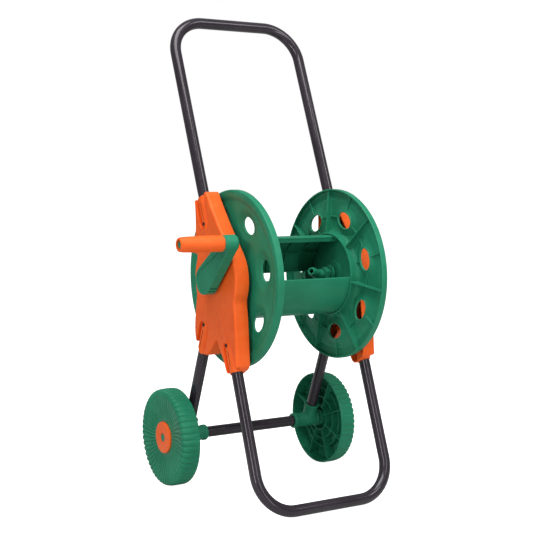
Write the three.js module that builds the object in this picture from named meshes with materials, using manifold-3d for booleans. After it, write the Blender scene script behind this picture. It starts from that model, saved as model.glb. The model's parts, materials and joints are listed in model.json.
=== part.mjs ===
// Garden hose reel cart: a bent steel tube frame with two moulded side plates, a hose reel between
// two flanges with a crank on its left, a water inlet on its right, and two wheels behind.
// Millimetres, +Z up, +X across to the right, -Y to the front foot bar, +Y to the wheels and handle.
import * as THREE from 'three';
import { mergeVertices } from 'three/addons/utils/BufferGeometryUtils.js';
import Module from 'manifold-3d';

const wasm = await Module();
wasm.setup();

// ---- driving dimensions --------------------------------------------------------------------
const GAP = 0.3; // clearance between neighbouring pieces
const RUN = 0.5; // clearance round a turning piece
const TUBE_R = 11; // outside radius of every frame tube
const TUBE_BORE = 9.8; // inside radius of the tubes
const TUBE_SIDES = 16;
const BORE_R = 11.7; // bores that the tubes are pushed into
const BORE_SIDES = 12;
const LEG_X = 146; // the tube legs stand this far left and right of the middle
const BEND_R = 72; // centre line radius of the tube bends
const REEL_Z = 425.3; // height of the reel's axis
const HANDLE_LEAN = 23.9; // degrees from upright, radial from the reel's axis
const HANDLE_REACH = 547.6; // from the reel's axis to the middle of the grip bar
const FOOT_LEAN = 22.07;
const FOOT_REACH = 447.1;
const AXLE_Y = 128; // wheel axis behind the reel's axis
const AXLE_Z = 96.7; // and above the ground: the wheel's radius
const REAR_TOP_Y = 7.7; // where the rear leg's line meets the height of the reel's axis
const LEG_END = 58; // the legs stop this far from the reel's axis, inside the plates

const PLATE_IN = 131.5; // side plate, from its open inner edge to its outer face
const PLATE_OUT = 158.5;
const PLATE_WALL = 2.6;
const PLATE_BEVEL = 4;
const HUB_BULGE_R = 80; // round bulge of the plate's outline about the reel's axis
const SOCKET_R = 13; // wall round each tube in the plate
const RECESS_HALF = 18.5; // half width of the U-shaped recess round each socket
const RECESS_SHIFT = 2.5; // the recesses stand this far to the front of their tubes
const RECESS_FLOOR = 149; // distance of the recess floor from the middle of the cart
const BEARING_R = 16; // hole for the reel's spigot
const BEARING_BOSS_R = 22;

const FLANGE_R = 169.8;
const FLANGE_IN = 109; // edge of the rolled rim
const FLANGE_OUT = 122.5; // crown of the rim
const FLANGE_WALL = 3;
const WEB_IN = 116; // faces of the flange's web
const WEB_OUT = 119;
const HOLE_COUNT = 7;
const HOLE_PITCH_R = 115.5;
const HOLE_R = 15; // half the height of each oval hole, along the flange's radius
const HOLE_STRETCH = 1.43; // the holes are this much longer round the flange
const DIMPLE_R = 27; // mouth of the cone round each hole
const DIMPLE_DEPTH = 4;
const HOLE_LIP = 110.5; // inner end of the lip round each hole
const LEFT_HOLE_PHASE = 12.8; // degrees from the rear, of the first hole
const RIGHT_HOLE_PHASE = 6;
const FLANGE_SEGMENTS = 28;
const COLLAR_R = 82.4; // sleeve on each flange that holds the drum's ends
const COLLAR_BORE = 79.6;
const COLLAR_IN = 99;
const DRUM_R = 78.4;
const DRUM_WALL = 3;
const DRUM_HALF = 113.5; // the drum's shells reach this far into the collars
const PLATE_SPAN = 103; // degrees that each drum shell covers
const TOP_SHELL_START = -1;
const SPIGOT_R = 15.5;

const WHEEL_R = AXLE_Z;
const WHEEL_IN = 167.2;
const WHEEL_FACE = 204.5; // at the tread's shoulder
const WHEEL_HUB_FACE = 197.2; // the face is dished to this at the hub
const WHEEL_DISH_R = 34; // flat middle of the dish
const WHEEL_WEB = 5.5;
const WHEEL_SEGMENTS = 32;
const STUB_R = 12;
const STUB_TIP_R = 8;
const CAP_R = 31.5;
const CAP_IN = WHEEL_HUB_FACE + GAP;
const CAP_OUT = 202.3;
const CAP_HOLE_R = 8.5;

const CRANK_IN = 163; // crank arm, from its back to its face
const CRANK_OUT = 185;
const CRANK_HUB_R = 27.5;
const PIN_Y = -86; // the grip's axis, from the reel's axis
const PIN_Z = 76.5;
const PIN_BOSS_R = 15;
const PIN_BOSS_OUT = 191.5;
const PIN_R = 6.5;
const GRIP_IN = 192;
const GRIP_OUT = 280;
const GRIP_R = 15;
const GRIP_END_R = 13.6;

const GREEN = new THREE.Color(0.026, 0.215, 0.108);
const ORANGE = new THREE.Color(0.75, 0.115, 0.02);
const TUBE_PAINT = new THREE.Color(0.06, 0.05, 0.06);
const STEEL = new THREE.Color(0.55, 0.55, 0.56);
const RUBBER = new THREE.Color(0.02, 0.02, 0.02);

const plastic = (color) => new THREE.MeshStandardMaterial({ color, roughness: 0.45, metalness: 0 });
const MATERIALS = {
  green: plastic(GREEN),
  orange: plastic(ORANGE),
  paint: new THREE.MeshStandardMaterial({ color: TUBE_PAINT, roughness: 0.25, metalness: 0.2 }),
  steel: new THREE.MeshStandardMaterial({ color: STEEL, roughness: 0.35, metalness: 1 }),
  rubber: new THREE.MeshStandardMaterial({ color: RUBBER, roughness: 0.8, metalness: 0 }),
};

// ---- helpers ---------------------------------------------------------------------------------
const rad = THREE.MathUtils.degToRad;
const SIDES = { left: -1, right: 1 };

// A solid for booleans, from a closed geometry whose seams are merged.
function solid(geometry) {
  const bare = geometry.clone();
  bare.deleteAttribute('normal');
  bare.deleteAttribute('uv');
  const merged = mergeVertices(bare, 1e-4);
  const kept = [];
  const index = merged.index.array;
  for (let i = 0; i < index.length; i += 3) {
    const [a, b, c] = [index[i], index[i + 1], index[i + 2]];
    if (a !== b && b !== c && c !== a) kept.push(a, b, c);
  }
  const vertProperties = new Float32Array(merged.attributes.position.array);
  const triVerts = new Uint32Array(kept);
  return new wasm.Manifold(new wasm.Mesh({ numProp: 3, vertProperties, triVerts }));
}

function fromSolid(body) {
  const mesh = body.getMesh();
  const indexed = new THREE.BufferGeometry();
  indexed.setAttribute('position', new THREE.BufferAttribute(mesh.vertProperties, 3));
  indexed.setIndex(new THREE.BufferAttribute(mesh.triVerts, 1));
  return indexed;
}

const join = (first, ...rest) => rest.reduce((sum, next) => sum.add(next), first);
const cut = (first, ...rest) => rest.reduce((left, next) => left.subtract(next), first);

// Turns a geometry made in the (Y, Z) plane and extruded along its third axis to run along X.
function alongX(geometry, x0) {
  const axes = new THREE.Matrix4().makeBasis(
    new THREE.Vector3(0, 1, 0),
    new THREE.Vector3(0, 0, 1),
    new THREE.Vector3(1, 0, 0),
  );
  return geometry.applyMatrix4(axes).translate(x0, 0, 0);
}

// A prism of an outline drawn in (Y, Z), between two X planes.
function prism(shape, x0, x1, curveSegments = 8) {
  const settings = { depth: x1 - x0, bevelEnabled: false, curveSegments };
  return solid(alongX(new THREE.ExtrudeGeometry(shape, settings), x0));
}

// A body turned about an X axis from a closed profile of [radius, x] corners.
function turned(profile, segments) {
  const area = profile.reduce((sum, [r, x], i) => {
    const [nextR, nextX] = profile[(i + 1) % profile.length];
    return sum + r * nextX - nextR * x;
  }, 0);
  const ordered = area > 0 ? [...profile] : [...profile].reverse();
  const points = [...ordered, ordered[0]].map(([r, x]) => new THREE.Vector2(r, x));
  return solid(new THREE.LatheGeometry(points, segments).rotateZ(-Math.PI / 2));
}

// A plain round bar along X, and a hollow one.
const bar = (r, x0, x1, sides) => turned([[0, x0], [r, x0], [r, x1], [0, x1]], sides);
const ring = (inner, outer, x0, x1, sides) => {
  return turned([[inner, x0], [outer, x0], [outer, x1], [inner, x1]], sides);
};

// A box between two corners.
function block([x0, y0, z0], [x1, y1, z1]) {
  const box = new THREE.BoxGeometry(x1 - x0, y1 - y0, z1 - z0);
  return solid(box.translate((x0 + x1) / 2, (y0 + y1) / 2, (z0 + z1) / 2));
}

// Places a body made along +X so that it runs from a point in a direction.
function aim(body, from, direction) {
  const turn = new THREE.Quaternion().setFromUnitVectors(
    new THREE.Vector3(1, 0, 0),
    direction.clone().normalize(),
  );
  return body.transform(new THREE.Matrix4().compose(from, turn, new THREE.Vector3(1, 1, 1)).elements);
}

// Turns a body about the X axis through the origin by an angle in degrees.
const spinX = (body, degrees) => body.rotate([degrees, 0, 0]);
const mirrorX = (body) => body.mirror([1, 0, 0]);
const onSide = (body, side) => (side < 0 ? mirrorX(body) : body);

const cart = new THREE.Group();

function add(name, materialName, body, at = [0, 0, 0]) {
  const geometry = body.isBufferGeometry ? body : fromSolid(body);
  const mesh = new THREE.Mesh(geometry, MATERIALS[materialName]);
  mesh.name = name;
  mesh.position.set(...at);
  cart.add(mesh);
}

// Unit direction in the (Y, Z) plane, a number of degrees from straight up towards the rear.
const lean = (degrees) => new THREE.Vector3(0, Math.sin(rad(degrees)), Math.cos(rad(degrees)));

const REEL_AT = [0, 0, REEL_Z];
const handleWay = lean(HANDLE_LEAN);
const footWay = lean(180 + FOOT_LEAN);
const rearLean = THREE.MathUtils.radToDeg(Math.atan2(AXLE_Y - REAR_TOP_Y, REEL_Z - AXLE_Z));
const rearWay = lean(180 - rearLean);
const rearFrom = new THREE.Vector3(0, REAR_TOP_Y, 0); // on the rear leg's line, from the reel's axis

// ---- tube frame --------------------------------------------------------------------------------
// A path that is given by its stations, so straight runs need no steps.
class StationPath extends THREE.Curve {
  constructor(stations) {
    super();
    this.stations = stations;
  }

  station(t) {
    return this.stations[Math.round(t * (this.stations.length - 1))];
  }

  getPoint(t, target = new THREE.Vector3()) {
    return target.copy(this.station(t).point);
  }

  getPointAt(u, target) {
    return this.getPoint(u, target);
  }

  getTangentAt(u, target = new THREE.Vector3()) {
    return target.copy(this.station(u).tangent);
  }
}

function tubeAlong(stations) {
  const outline = new THREE.Shape(ringPoints(TUBE_R, TUBE_SIDES));
  outline.holes.push(new THREE.Path(ringPoints(TUBE_BORE, TUBE_SIDES / 2)));
  const steps = stations.length - 1;
  return new THREE.ExtrudeGeometry(outline, { steps, extrudePath: new StationPath(stations) });
}

function ringPoints(r, count) {
  return Array.from({ length: count }, (_, i) => {
    const angle = (2 * Math.PI * i) / count;
    return new THREE.Vector2(r * Math.cos(angle), r * Math.sin(angle));
  });
}

// A U of tube: two legs that leave the plates in one direction, joined by a bar across.
function bentU(way, reach) {
  const across = new THREE.Vector3(1, 0, 0);
  const bendSteps = 7;
  const stations = [];
  const start = new THREE.Vector3(-LEG_X, 0, 0).addScaledVector(way, LEG_END);
  stations.push({ point: start, tangent: way.clone() });
  for (const side of [-1, 1]) {
    const centre = new THREE.Vector3(side * (LEG_X - BEND_R), 0, 0);
    centre.addScaledVector(way, reach - BEND_R);
    for (let i = 0; i <= bendSteps; i += 1) {
      const turn = (Math.PI / 2) * (i / bendSteps);
      const angle = side < 0 ? Math.PI - turn : Math.PI / 2 - turn;
      const point = centre.clone().addScaledVector(across, BEND_R * Math.cos(angle));
      point.addScaledVector(way, BEND_R * Math.sin(angle));
      const tangent = across.clone().multiplyScalar(Math.sin(angle));
      tangent.addScaledVector(way, -Math.cos(angle));
      stations.push({ point, tangent });
    }
  }
  const end = new THREE.Vector3(LEG_X, 0, 0).addScaledVector(way, LEG_END);
  stations.push({ point: end, tangent: way.clone().negate() });
  return tubeAlong(stations);
}

function straightTube(from, to) {
  const tangent = to.clone().sub(from).normalize();
  return tubeAlong([{ point: from, tangent }, { point: to, tangent }]);
}

// ---- side plates -------------------------------------------------------------------------------
// Outline about the reel's axis: handle socket at the top, foot and rear leg sockets below.
// Each corner is [y, z, ease]: how far from the corner its rounding starts.
const PLATE_CORNERS = [
  [42, 165, 3],
  [13.5, 130, 0],
  [-19, 93, 30],
  ...arcCorners(HUB_BULGE_R, 136, 206, 6),
  [-75.5, -50, 20],
  [-81, -84, 30],
  [-88, -157, 9],
  [-60, -174.5, 5],
  [-49.5, -171.5, 5],
  [-34.5, -148.5, 0],
  [-20.5, -132, 0],
  [-8, -112.5, 4],
  [27, -149.5, 4],
  [60, -152, 5],
  [69, -134, 3],
  [77.5, -121, 8],
  [80.5, -96, 20],
  [73, -40, 20],
  ...arcCorners(HUB_BULGE_R, 334, 386, 5),
  [72, 42, 3],
  [88, 42, 7],
  [80.5, 76, 20],
  [82, 118, 20],
  [86.5, 145, 3],
];

function arcCorners(r, from, to, count) {
  return Array.from({ length: count }, (_, i) => {
    const angle = rad(from + ((to - from) * i) / (count - 1));
    return [r * Math.cos(angle), r * Math.sin(angle), 0];
  });
}

// The corners of a counter-clockwise outline, moved inwards by a distance.
function insetCorners(corners, distance) {
  return corners.map(([y, z, ease], i) => {
    const corner = new THREE.Vector2(y, z);
    const before = new THREE.Vector2(...corners.at(i - 1));
    const after = new THREE.Vector2(...corners[(i + 1) % corners.length]);
    const into = corner.clone().sub(before).normalize();
    const out = after.sub(corner).normalize();
    const inward = new THREE.Vector2(-into.y - out.y, into.x + out.x);
    corner.addScaledVector(inward, distance / (1 + into.dot(out)));
    return [corner.x, corner.y, ease];
  });
}

// The points of a closed outline whose corners are eased, the same number for every inset.
function roundedPoints(corners) {
  const steps = 2;
  return corners.flatMap(([y, z, ease], i) => {
    const corner = new THREE.Vector2(y, z);
    if (ease === 0) return [corner];
    const before = new THREE.Vector2(...corners.at(i - 1)).sub(corner);
    const after = new THREE.Vector2(...corners[(i + 1) % corners.length]).sub(corner);
    const from = corner.clone().addScaledVector(before, Math.min(ease / before.length(), 0.45));
    const to = corner.clone().addScaledVector(after, Math.min(ease / after.length(), 0.45));
    return new THREE.QuadraticBezierCurve(from, corner, to).getPoints(steps);
  });
}

const plateOutline = (inset) => roundedPoints(insetCorners(PLATE_CORNERS, inset));

// A solid through outlines [points in (Y, Z), x] that have the same number of points.
function loft(levels) {
  const count = levels[0][0].length;
  const position = levels.flatMap(([points, x]) => points.flatMap((p) => [x, p.x, p.y]));
  const index = [];
  levels.slice(1).forEach((_, level) => {
    for (let i = 0; i < count; i += 1) {
      const low = level * count + i;
      const lowNext = level * count + ((i + 1) % count);
      index.push(low, lowNext, low + count, lowNext, lowNext + count, low + count);
    }
  });
  const top = (levels.length - 1) * count;
  for (const [a, b, c] of THREE.ShapeUtils.triangulateShape(levels[0][0], [])) index.push(a, c, b);
  for (const [a, b, c] of THREE.ShapeUtils.triangulateShape(levels.at(-1)[0], [])) {
    index.push(top + a, top + b, top + c);
  }
  const geometry = new THREE.BufferGeometry();
  geometry.setAttribute('position', new THREE.Float32BufferAttribute(position, 3));
  geometry.setIndex(index);
  return solid(geometry);
}

// The levels of a body whose outline is rounded off towards its outer face.
function roundedFace(outlineAt, inner, outer, edge) {
  return loft([
    [outlineAt(0), inner],
    [outlineAt(0), outer - edge],
    [outlineAt(edge), outer],
  ]);
}

// The U-shaped outline of a recess, open at the tube's end, along one leg and a little before it.
function recessShape(from, way, start, end, half) {
  const along = new THREE.Vector2(way.y, way.z);
  const sideways = new THREE.Vector2(-Math.abs(along.y), Math.sign(along.y) * along.x);
  const base = new THREE.Vector2(from.y, from.z).addScaledVector(sideways, RECESS_SHIFT);
  const at = (s, w) => base.clone().addScaledVector(along, s).addScaledVector(sideways, w);
  const points = [at(end, half)];
  const arcSteps = 4;
  for (let i = 0; i <= arcSteps; i += 1) {
    const angle = (Math.PI * i) / arcSteps;
    points.push(at(start + half - half * Math.sin(angle), half * Math.cos(angle)));
  }
  points.push(at(end, -half));
  return new THREE.Shape(points);
}

const ORIGIN = new THREE.Vector3();
const DOWN = new THREE.Vector3(0, 0, -1);
// Each socket: the leg's line, where its recess starts and ends, and where its tube ends.
const SOCKETS = [
  { name: 'handle', from: ORIGIN, way: handleWay, recessStart: 100, end: 167 },
  { name: 'foot', from: ORIGIN, way: footWay, recessStart: 116, end: 180 },
  { name: 'rear_leg', from: rearFrom, way: rearWay, recessStart: 86, end: 158 },
];
const SCREW_R = 2;
const SCREW_HEAD_R = 3.6;
const SCREW_SEAT = 158.3; // the plate's screws seat this far from the middle of the cart
const PLATE_RIBS = [[-50, -105], [50, -85]]; // middles of two flat ribs between the sockets
const RIB_HALF = 30;

// Where a socket's screw enters: just inside the recess's round end, on the tube's crest.
const screwAt = (socket) => socket.from.clone().addScaledVector(socket.way, socket.recessStart + 12);

function sidePlate() {
  const body = roundedFace(plateOutline, PLATE_IN, PLATE_OUT, PLATE_BEVEL);
  const cavity = prism(new THREE.Shape(plateOutline(PLATE_WALL)), PLATE_IN - 5, PLATE_OUT - PLATE_WALL);
  let plate = body.subtract(cavity);
  for (const { from, way, recessStart, end } of SOCKETS) {
    const well = recessShape(from, way, recessStart - PLATE_WALL, end + 20, RECESS_HALF + PLATE_WALL);
    plate = plate.add(prism(well, RECESS_FLOOR - PLATE_WALL, PLATE_OUT).intersect(body));
    const recess = recessShape(from, way, recessStart, end + 40, RECESS_HALF);
    plate = plate.subtract(prism(recess, RECESS_FLOOR, PLATE_OUT + 5));
    const wall = aim(bar(SOCKET_R, LEG_END - 6, end + 20, 12), legPoint(from), way);
    plate = plate.add(wall.intersect(body));
  }
  plate = plate.add(bar(BEARING_BOSS_R, PLATE_IN - 2, PLATE_OUT, 16));
  for (const [y, z] of PLATE_RIBS) {
    const rib = block([PLATE_IN + 3, y - RIB_HALF, z - 1], [PLATE_OUT - 1, y + RIB_HALF, z + 1]);
    plate = plate.add(rib.intersect(body));
  }
  for (const socket of SOCKETS) {
    const along = bar(BORE_R, LEG_END - GAP, socket.end + 30, BORE_SIDES);
    const bore = aim(along, legPoint(socket.from), socket.way);
    const { y, z } = screwAt(socket);
    const screwHole = bar(SCREW_R + GAP, LEG_X, PLATE_OUT + 5, 8).translate([0, y, z]);
    const seat = bar(SCREW_HEAD_R + GAP, SCREW_SEAT, PLATE_OUT + 5, 10).translate([0, y, z]);
    plate = cut(plate, bore, screwHole, seat);
  }
  return plate.subtract(bar(BEARING_R + GAP, PLATE_IN - 10, PLATE_OUT + 5, 20));
}

const legPoint = (from) => new THREE.Vector3(LEG_X, from.y, from.z);

// ---- screws ------------------------------------------------------------------------------------
// A screw along +X whose head rests on the plane x = 0.
const screw = () => turned([
  [0, -12], [SCREW_R, -12], [SCREW_R, 0], [SCREW_HEAD_R, 0],
  [SCREW_HEAD_R, 1.6], [2.4, 2.4], [0, 2.4],
], 8);

// Holes of the plate screws in a tube, on both legs or on one.
function drilled(tube, socket, sides) {
  const spot = screwAt(socket);
  return sides.reduce((left, side) => {
    const hole = bar(SCREW_R + GAP, LEG_X, LEG_X + 20, 8).translate([0, spot.y, spot.z]);
    return left.subtract(onSide(hole, side));
  }, tube);
}

// ---- wheel carriers ----------------------------------------------------------------------------
const SLEEVE_R = 14.5;
const SLEEVE_IN = 105.5; // inner end of the sleeve round the axle tube
const SLEEVE_MOUTH = 9; // length of the wider mouth at that end
const SCREW_INSET = 14; // from the sleeve's end to its screw
const AXLE_TUBE_END = 130;
const LEG_SLEEVE = 38; // length of the sleeve up the rear leg, from the wheel's axis
const REAR_LEG_FOOT = 17; // the rear leg's lower end, from the wheel's axis
const TEE_SHOULDER = 166;

function axleTee() {
  const up = lean(-rearLean);
  const core = new THREE.Vector3(LEG_X, 0, 0);
  let tee = bar(SLEEVE_R, SLEEVE_IN, TEE_SHOULDER - 5, 14);
  tee = join(
    tee,
    bar(SLEEVE_R + 1.2, SLEEVE_IN, SLEEVE_IN + SLEEVE_MOUTH, 14),
    bar(SLEEVE_R + 2.5, TEE_SHOULDER - 5, TEE_SHOULDER, 14),
    bar(STUB_R, LEG_X, CAP_IN - GAP, 14),
    bar(STUB_TIP_R, LEG_X, CAP_OUT - 0.6, 14),
    aim(bar(SLEEVE_R - 0.5, 0, LEG_SLEEVE, 14), core, up),
    aim(bar(SLEEVE_R + 1, LEG_SLEEVE - 4, LEG_SLEEVE, 14), core, up),
  );
  const legBore = aim(bar(BORE_R, REAR_LEG_FOOT - GAP, LEG_SLEEVE + 5, BORE_SIDES), core, up);
  const screwSpot = core.clone().addScaledVector(up, LEG_SLEEVE - 12);
  const spot = [LEG_X, screwSpot.y, screwSpot.z];
  const legScrew = bar(SCREW_R + GAP, 0, 30, 8).translate(spot);
  const seat = bar(SCREW_HEAD_R + GAP, SLEEVE_R - 1.5, 30, 8).translate(spot);
  const below = new THREE.Vector3(SLEEVE_IN + SCREW_INSET, 0, 0);
  const axleScrew = aim(bar(SCREW_R + GAP, 0, 30, 8), below, DOWN);
  const axleSeat = aim(bar(SCREW_HEAD_R + GAP, SLEEVE_R - 1, 30, 8), below, DOWN);
  const axleBore = bar(BORE_R, SLEEVE_IN - 5, AXLE_TUBE_END + GAP, BORE_SIDES);
  return cut(tee, axleBore, legBore, legScrew, seat, axleScrew, axleSeat);
}

// ---- wheels ------------------------------------------------------------------------------------
const WHEEL_RIBS = 8;

// Where the web's inner side stands at a distance from the axis.
function webInside(r) {
  const share = Math.max(0, (r - WHEEL_DISH_R) / (89 - WHEEL_DISH_R));
  return WHEEL_HUB_FACE - WHEEL_WEB + share * (WHEEL_FACE - WHEEL_HUB_FACE);
}

function wheel() {
  const bore = STUB_R + RUN;
  const ringSteps = [25.2, 44].flatMap((r) => [
    [r, webInside(r)], [r, webInside(r) - 14], [r + 2, webInside(r) - 14], [r + 2, webInside(r)],
  ]);
  const dish = turned([
    [bore, WHEEL_IN + 1.3], [16, WHEEL_IN + 1.3], [16, webInside(16)],
    ...ringSteps,
    [87, webInside(87)], [91, webInside(87) - 3], [93, WHEEL_IN], [95.4, WHEEL_IN],
    [WHEEL_R, WHEEL_IN + 2], [WHEEL_R, WHEEL_FACE - 9], [94.5, WHEEL_FACE - 3],
    [89, WHEEL_FACE], [WHEEL_DISH_R, WHEEL_HUB_FACE], [bore, WHEEL_HUB_FACE],
  ], WHEEL_SEGMENTS);
  const rib = fin([
    [26, WHEEL_IN + 8], [92, WHEEL_IN + 8], [92, WHEEL_FACE - 5],
    [WHEEL_DISH_R, WHEEL_HUB_FACE - 5], [26, WHEEL_HUB_FACE - 5],
  ], 2.4);
  const ribs = Array.from({ length: WHEEL_RIBS }, (_, i) => {
    return spinX(rib, (360 * (i + 0.5)) / WHEEL_RIBS);
  });
  return join(dish, ...ribs);
}

// ---- reel --------------------------------------------------------------------------------------
const SHAFT_HALF = 9; // half width of the square end that drives the crank
const SHAFT_END = 180;
const PIPE_R = 8.6;
const PIPE_BORE = 5;
const INLET_END = 149.5; // inner end of the inlet's spigot, inside the right flange's
const INLET_R = 11.9;

// A flat fin in the plane Z = 0, from corners [distance along Y, x].
function fin(corners, thickness) {
  const shape = new THREE.Shape(corners.map(([y, x]) => new THREE.Vector2(y, x)));
  const geometry = new THREE.ExtrudeGeometry(shape, { depth: thickness, bevelEnabled: false });
  geometry.translate(0, 0, -thickness / 2);
  return solid(geometry.applyMatrix4(new THREE.Matrix4().makeBasis(
    new THREE.Vector3(0, 1, 0),
    new THREE.Vector3(1, 0, 0),
    new THREE.Vector3(0, 0, -1),
  )));
}

// The right-hand flange; its hub is bored for the water pipe where boreR is not 0.
function flange(phase, boreR, spigotEnd) {
  const plate = turned([
    [boreR, WEB_IN - 3.5], [28, WEB_IN - 3.5], [28, WEB_IN],
    [COLLAR_BORE, WEB_IN], [COLLAR_BORE, COLLAR_IN], [COLLAR_R, COLLAR_IN],
    [COLLAR_R + 8, WEB_IN], [150, WEB_IN],
    [157.5, FLANGE_OUT - FLANGE_WALL], [FLANGE_R - 5.2, FLANGE_OUT - FLANGE_WALL],
    [FLANGE_R - FLANGE_WALL, FLANGE_OUT - 5.2], [FLANGE_R - FLANGE_WALL, FLANGE_IN],
    [FLANGE_R, FLANGE_IN], [FLANGE_R, FLANGE_OUT - 4.5], [FLANGE_R - 1.3, FLANGE_OUT - 1.3],
    [FLANGE_R - 4.5, FLANGE_OUT], [158, FLANGE_OUT], [150, WEB_OUT],
    [28, WEB_OUT], [28, PLATE_IN - 5.5], [SPIGOT_R, PLATE_IN - 5.5],
    [SPIGOT_R, spigotEnd], [boreR, spigotEnd],
  ], FLANGE_SEGMENTS);
  const boss = turned([
    [0, HOLE_LIP], [HOLE_R + 3, HOLE_LIP], [HOLE_R + 3, WEB_IN - DIMPLE_DEPTH],
    [DIMPLE_R + 2.5, WEB_IN + 1], [0, WEB_IN + 1],
  ], 14).scale([1, 1, HOLE_STRETCH]);
  const hole = turned([
    [0, 90], [HOLE_R, 90], [HOLE_R, WEB_OUT - DIMPLE_DEPTH], [DIMPLE_R, WEB_OUT],
    [DIMPLE_R, 130], [0, 130],
  ], 14).scale([1, 1, HOLE_STRETCH]);
  const gusset = fin([
    [COLLAR_R - 1, COLLAR_IN + 1], [FLANGE_R - 2, FLANGE_IN + 1.5],
    [FLANGE_R - 2, WEB_OUT - 1], [156, WEB_IN + 1], [COLLAR_R - 1, WEB_IN + 1],
  ], 2.6);
  let body = plate;
  for (let i = 0; i < HOLE_COUNT; i += 1) {
    const angle = phase + (360 * i) / HOLE_COUNT;
    body = body.add(spinX(boss.translate([0, HOLE_PITCH_R, 0]), angle));
    body = body.add(spinX(gusset, angle + 180 / HOLE_COUNT));
  }
  for (let i = 0; i < HOLE_COUNT; i += 1) {
    const angle = phase + (360 * i) / HOLE_COUNT;
    body = body.subtract(spinX(hole.translate([0, HOLE_PITCH_R, 0]), angle));
  }
  return body;
}

// The left flange's spigot goes on as a square end for the crank.
function leftFlange() {
  const end = block([150, -SHAFT_HALF, -SHAFT_HALF], [SHAFT_END, SHAFT_HALF, SHAFT_HALF]);
  return mirrorX(join(flange(LEFT_HOLE_PHASE, 0, CRANK_IN - 1), end));
}

// The right flange's spigot has a wider mouth for the inlet.
function rightFlange() {
  const mouth = bar(INLET_R + RUN, INLET_END - 1, PLATE_OUT, 24);
  return cut(flange(RIGHT_HOLE_PHASE, PIPE_R + GAP, PLATE_OUT - 2), mouth);
}

// One shell of the drum: an arc of wall with turned-in edges and two inner ribs.
function drumShell(start) {
  const inner = DRUM_R - DRUM_WALL;
  const lip = inner - 8;
  const outline = [];
  const push = (r, angle) => {
    outline.push(new THREE.Vector2(r * Math.cos(angle), r * Math.sin(angle)));
  };
  const steps = 12;
  for (let i = 0; i <= steps; i += 1) push(DRUM_R, rad(start + (PLATE_SPAN * i) / steps));
  const ribs = [PLATE_SPAN - 1, (PLATE_SPAN * 2) / 3, PLATE_SPAN / 3, 1];
  for (const middle of ribs) {
    push(inner, rad(start + middle + 1));
    push(lip, rad(start + middle + 1));
    push(lip, rad(start + middle - 1));
    push(inner, rad(start + middle - 1));
    if (middle > 1) push(inner, rad(start + middle - PLATE_SPAN / 6));
  }
  return prism(new THREE.Shape(outline), -DRUM_HALF, DRUM_HALF);
}

// ---- crank -------------------------------------------------------------------------------------
// The outline round two circles, the first at the reel's axis and the second towards the pin.
function teardrop(bigR, smallR, share) {
  const distance = Math.hypot(PIN_Y, PIN_Z) * share;
  const heading = Math.atan2(PIN_Z, PIN_Y);
  const swing = Math.acos((bigR - smallR) / distance);
  const shape = new THREE.Shape();
  shape.absarc(0, 0, bigR, heading + swing, heading - swing + 2 * Math.PI, false);
  shape.absarc(PIN_Y * share, PIN_Z * share, smallR, heading - swing, heading + swing, false);
  return shape.getPoints(8).slice(0, -1);
}

// Two slots low on the hub's front: half their spacing, and their turn from straight down.
const SLOT_APART = 3.6;
const SLOT_TURN = -52;

function crankArm() {
  const bevel = 2.5;
  const outlineAt = (inset) => teardrop(CRANK_HUB_R - inset, PIN_BOSS_R - inset, 1);
  const arm = roundedFace(outlineAt, CRANK_IN, CRANK_OUT, bevel);
  const boss = bar(PIN_BOSS_R, CRANK_IN + bevel, PIN_BOSS_OUT, 24).translate([0, PIN_Y, PIN_Z]);
  const leafShape = new THREE.Shape(teardrop(CRANK_HUB_R - 6, 5, 0.68));
  const leaf = prism(leafShape, CRANK_OUT - 1.5, CRANK_OUT + 1);
  const square = SHAFT_HALF + GAP;
  const socket = block([CRANK_IN - 1, -square, -square], [SHAFT_END + GAP, square, square]);
  const pinHole = bar(PIN_R + GAP, PIN_START - GAP, PIN_BOSS_OUT + 1, 16);
  const slots = [-1, 1].map((row) => {
    const slot = block([CRANK_IN + 3, -1.4, -40], [CRANK_OUT - 4, 1.4, -CRANK_HUB_R + 6]);
    return spinX(slot.translate([0, row * SLOT_APART, 0]), SLOT_TURN);
  });
  const round = pinHole.translate([0, PIN_Y, PIN_Z]);
  return mirrorX(cut(join(arm, boss), leaf, socket, round, ...slots));
}

const PIN_START = 174;
const PIN_END = GRIP_OUT - 2.5;
const SNAP_R = 7.6; // bead that keeps the grip on its pin
const GRIP_SNAP_AT = GRIP_OUT - 7.5;

const crankPin = () => mirrorX(turned([
  [0, PIN_START], [PIN_R, PIN_START], [PIN_R, GRIP_SNAP_AT + 0.7], [SNAP_R, GRIP_SNAP_AT + 1.2],
  [SNAP_R, GRIP_SNAP_AT + 2.5], [PIN_R, PIN_END], [0, PIN_END],
], 16));

const crankGrip = () => mirrorX(turned([
  [PIN_R + RUN, GRIP_IN], [GRIP_R, GRIP_IN], [GRIP_R, GRIP_IN + 45], [GRIP_END_R + 0.4, GRIP_OUT - 9],
  [GRIP_END_R - 1.2, GRIP_OUT - 2.4], [GRIP_END_R - 3.6, GRIP_OUT], [8.5, GRIP_OUT],
  [8.5, GRIP_SNAP_AT], [PIN_R + RUN, GRIP_SNAP_AT],
], 24));

// ---- water fittings ----------------------------------------------------------------------------
const waterPipe = () => turned([
  [PIPE_BORE, 87], [PIPE_R, 87], [PIPE_R, 103], [18, 103], [18, 107],
  [PIPE_R, 107], [PIPE_R, INLET_END - 2], [PIPE_BORE, INLET_END - 2],
], 20);

const pipeNut = () => cut(bar(14, 88.5, 99, 6), bar(PIPE_R + GAP, 80, 110, 20));

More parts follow.
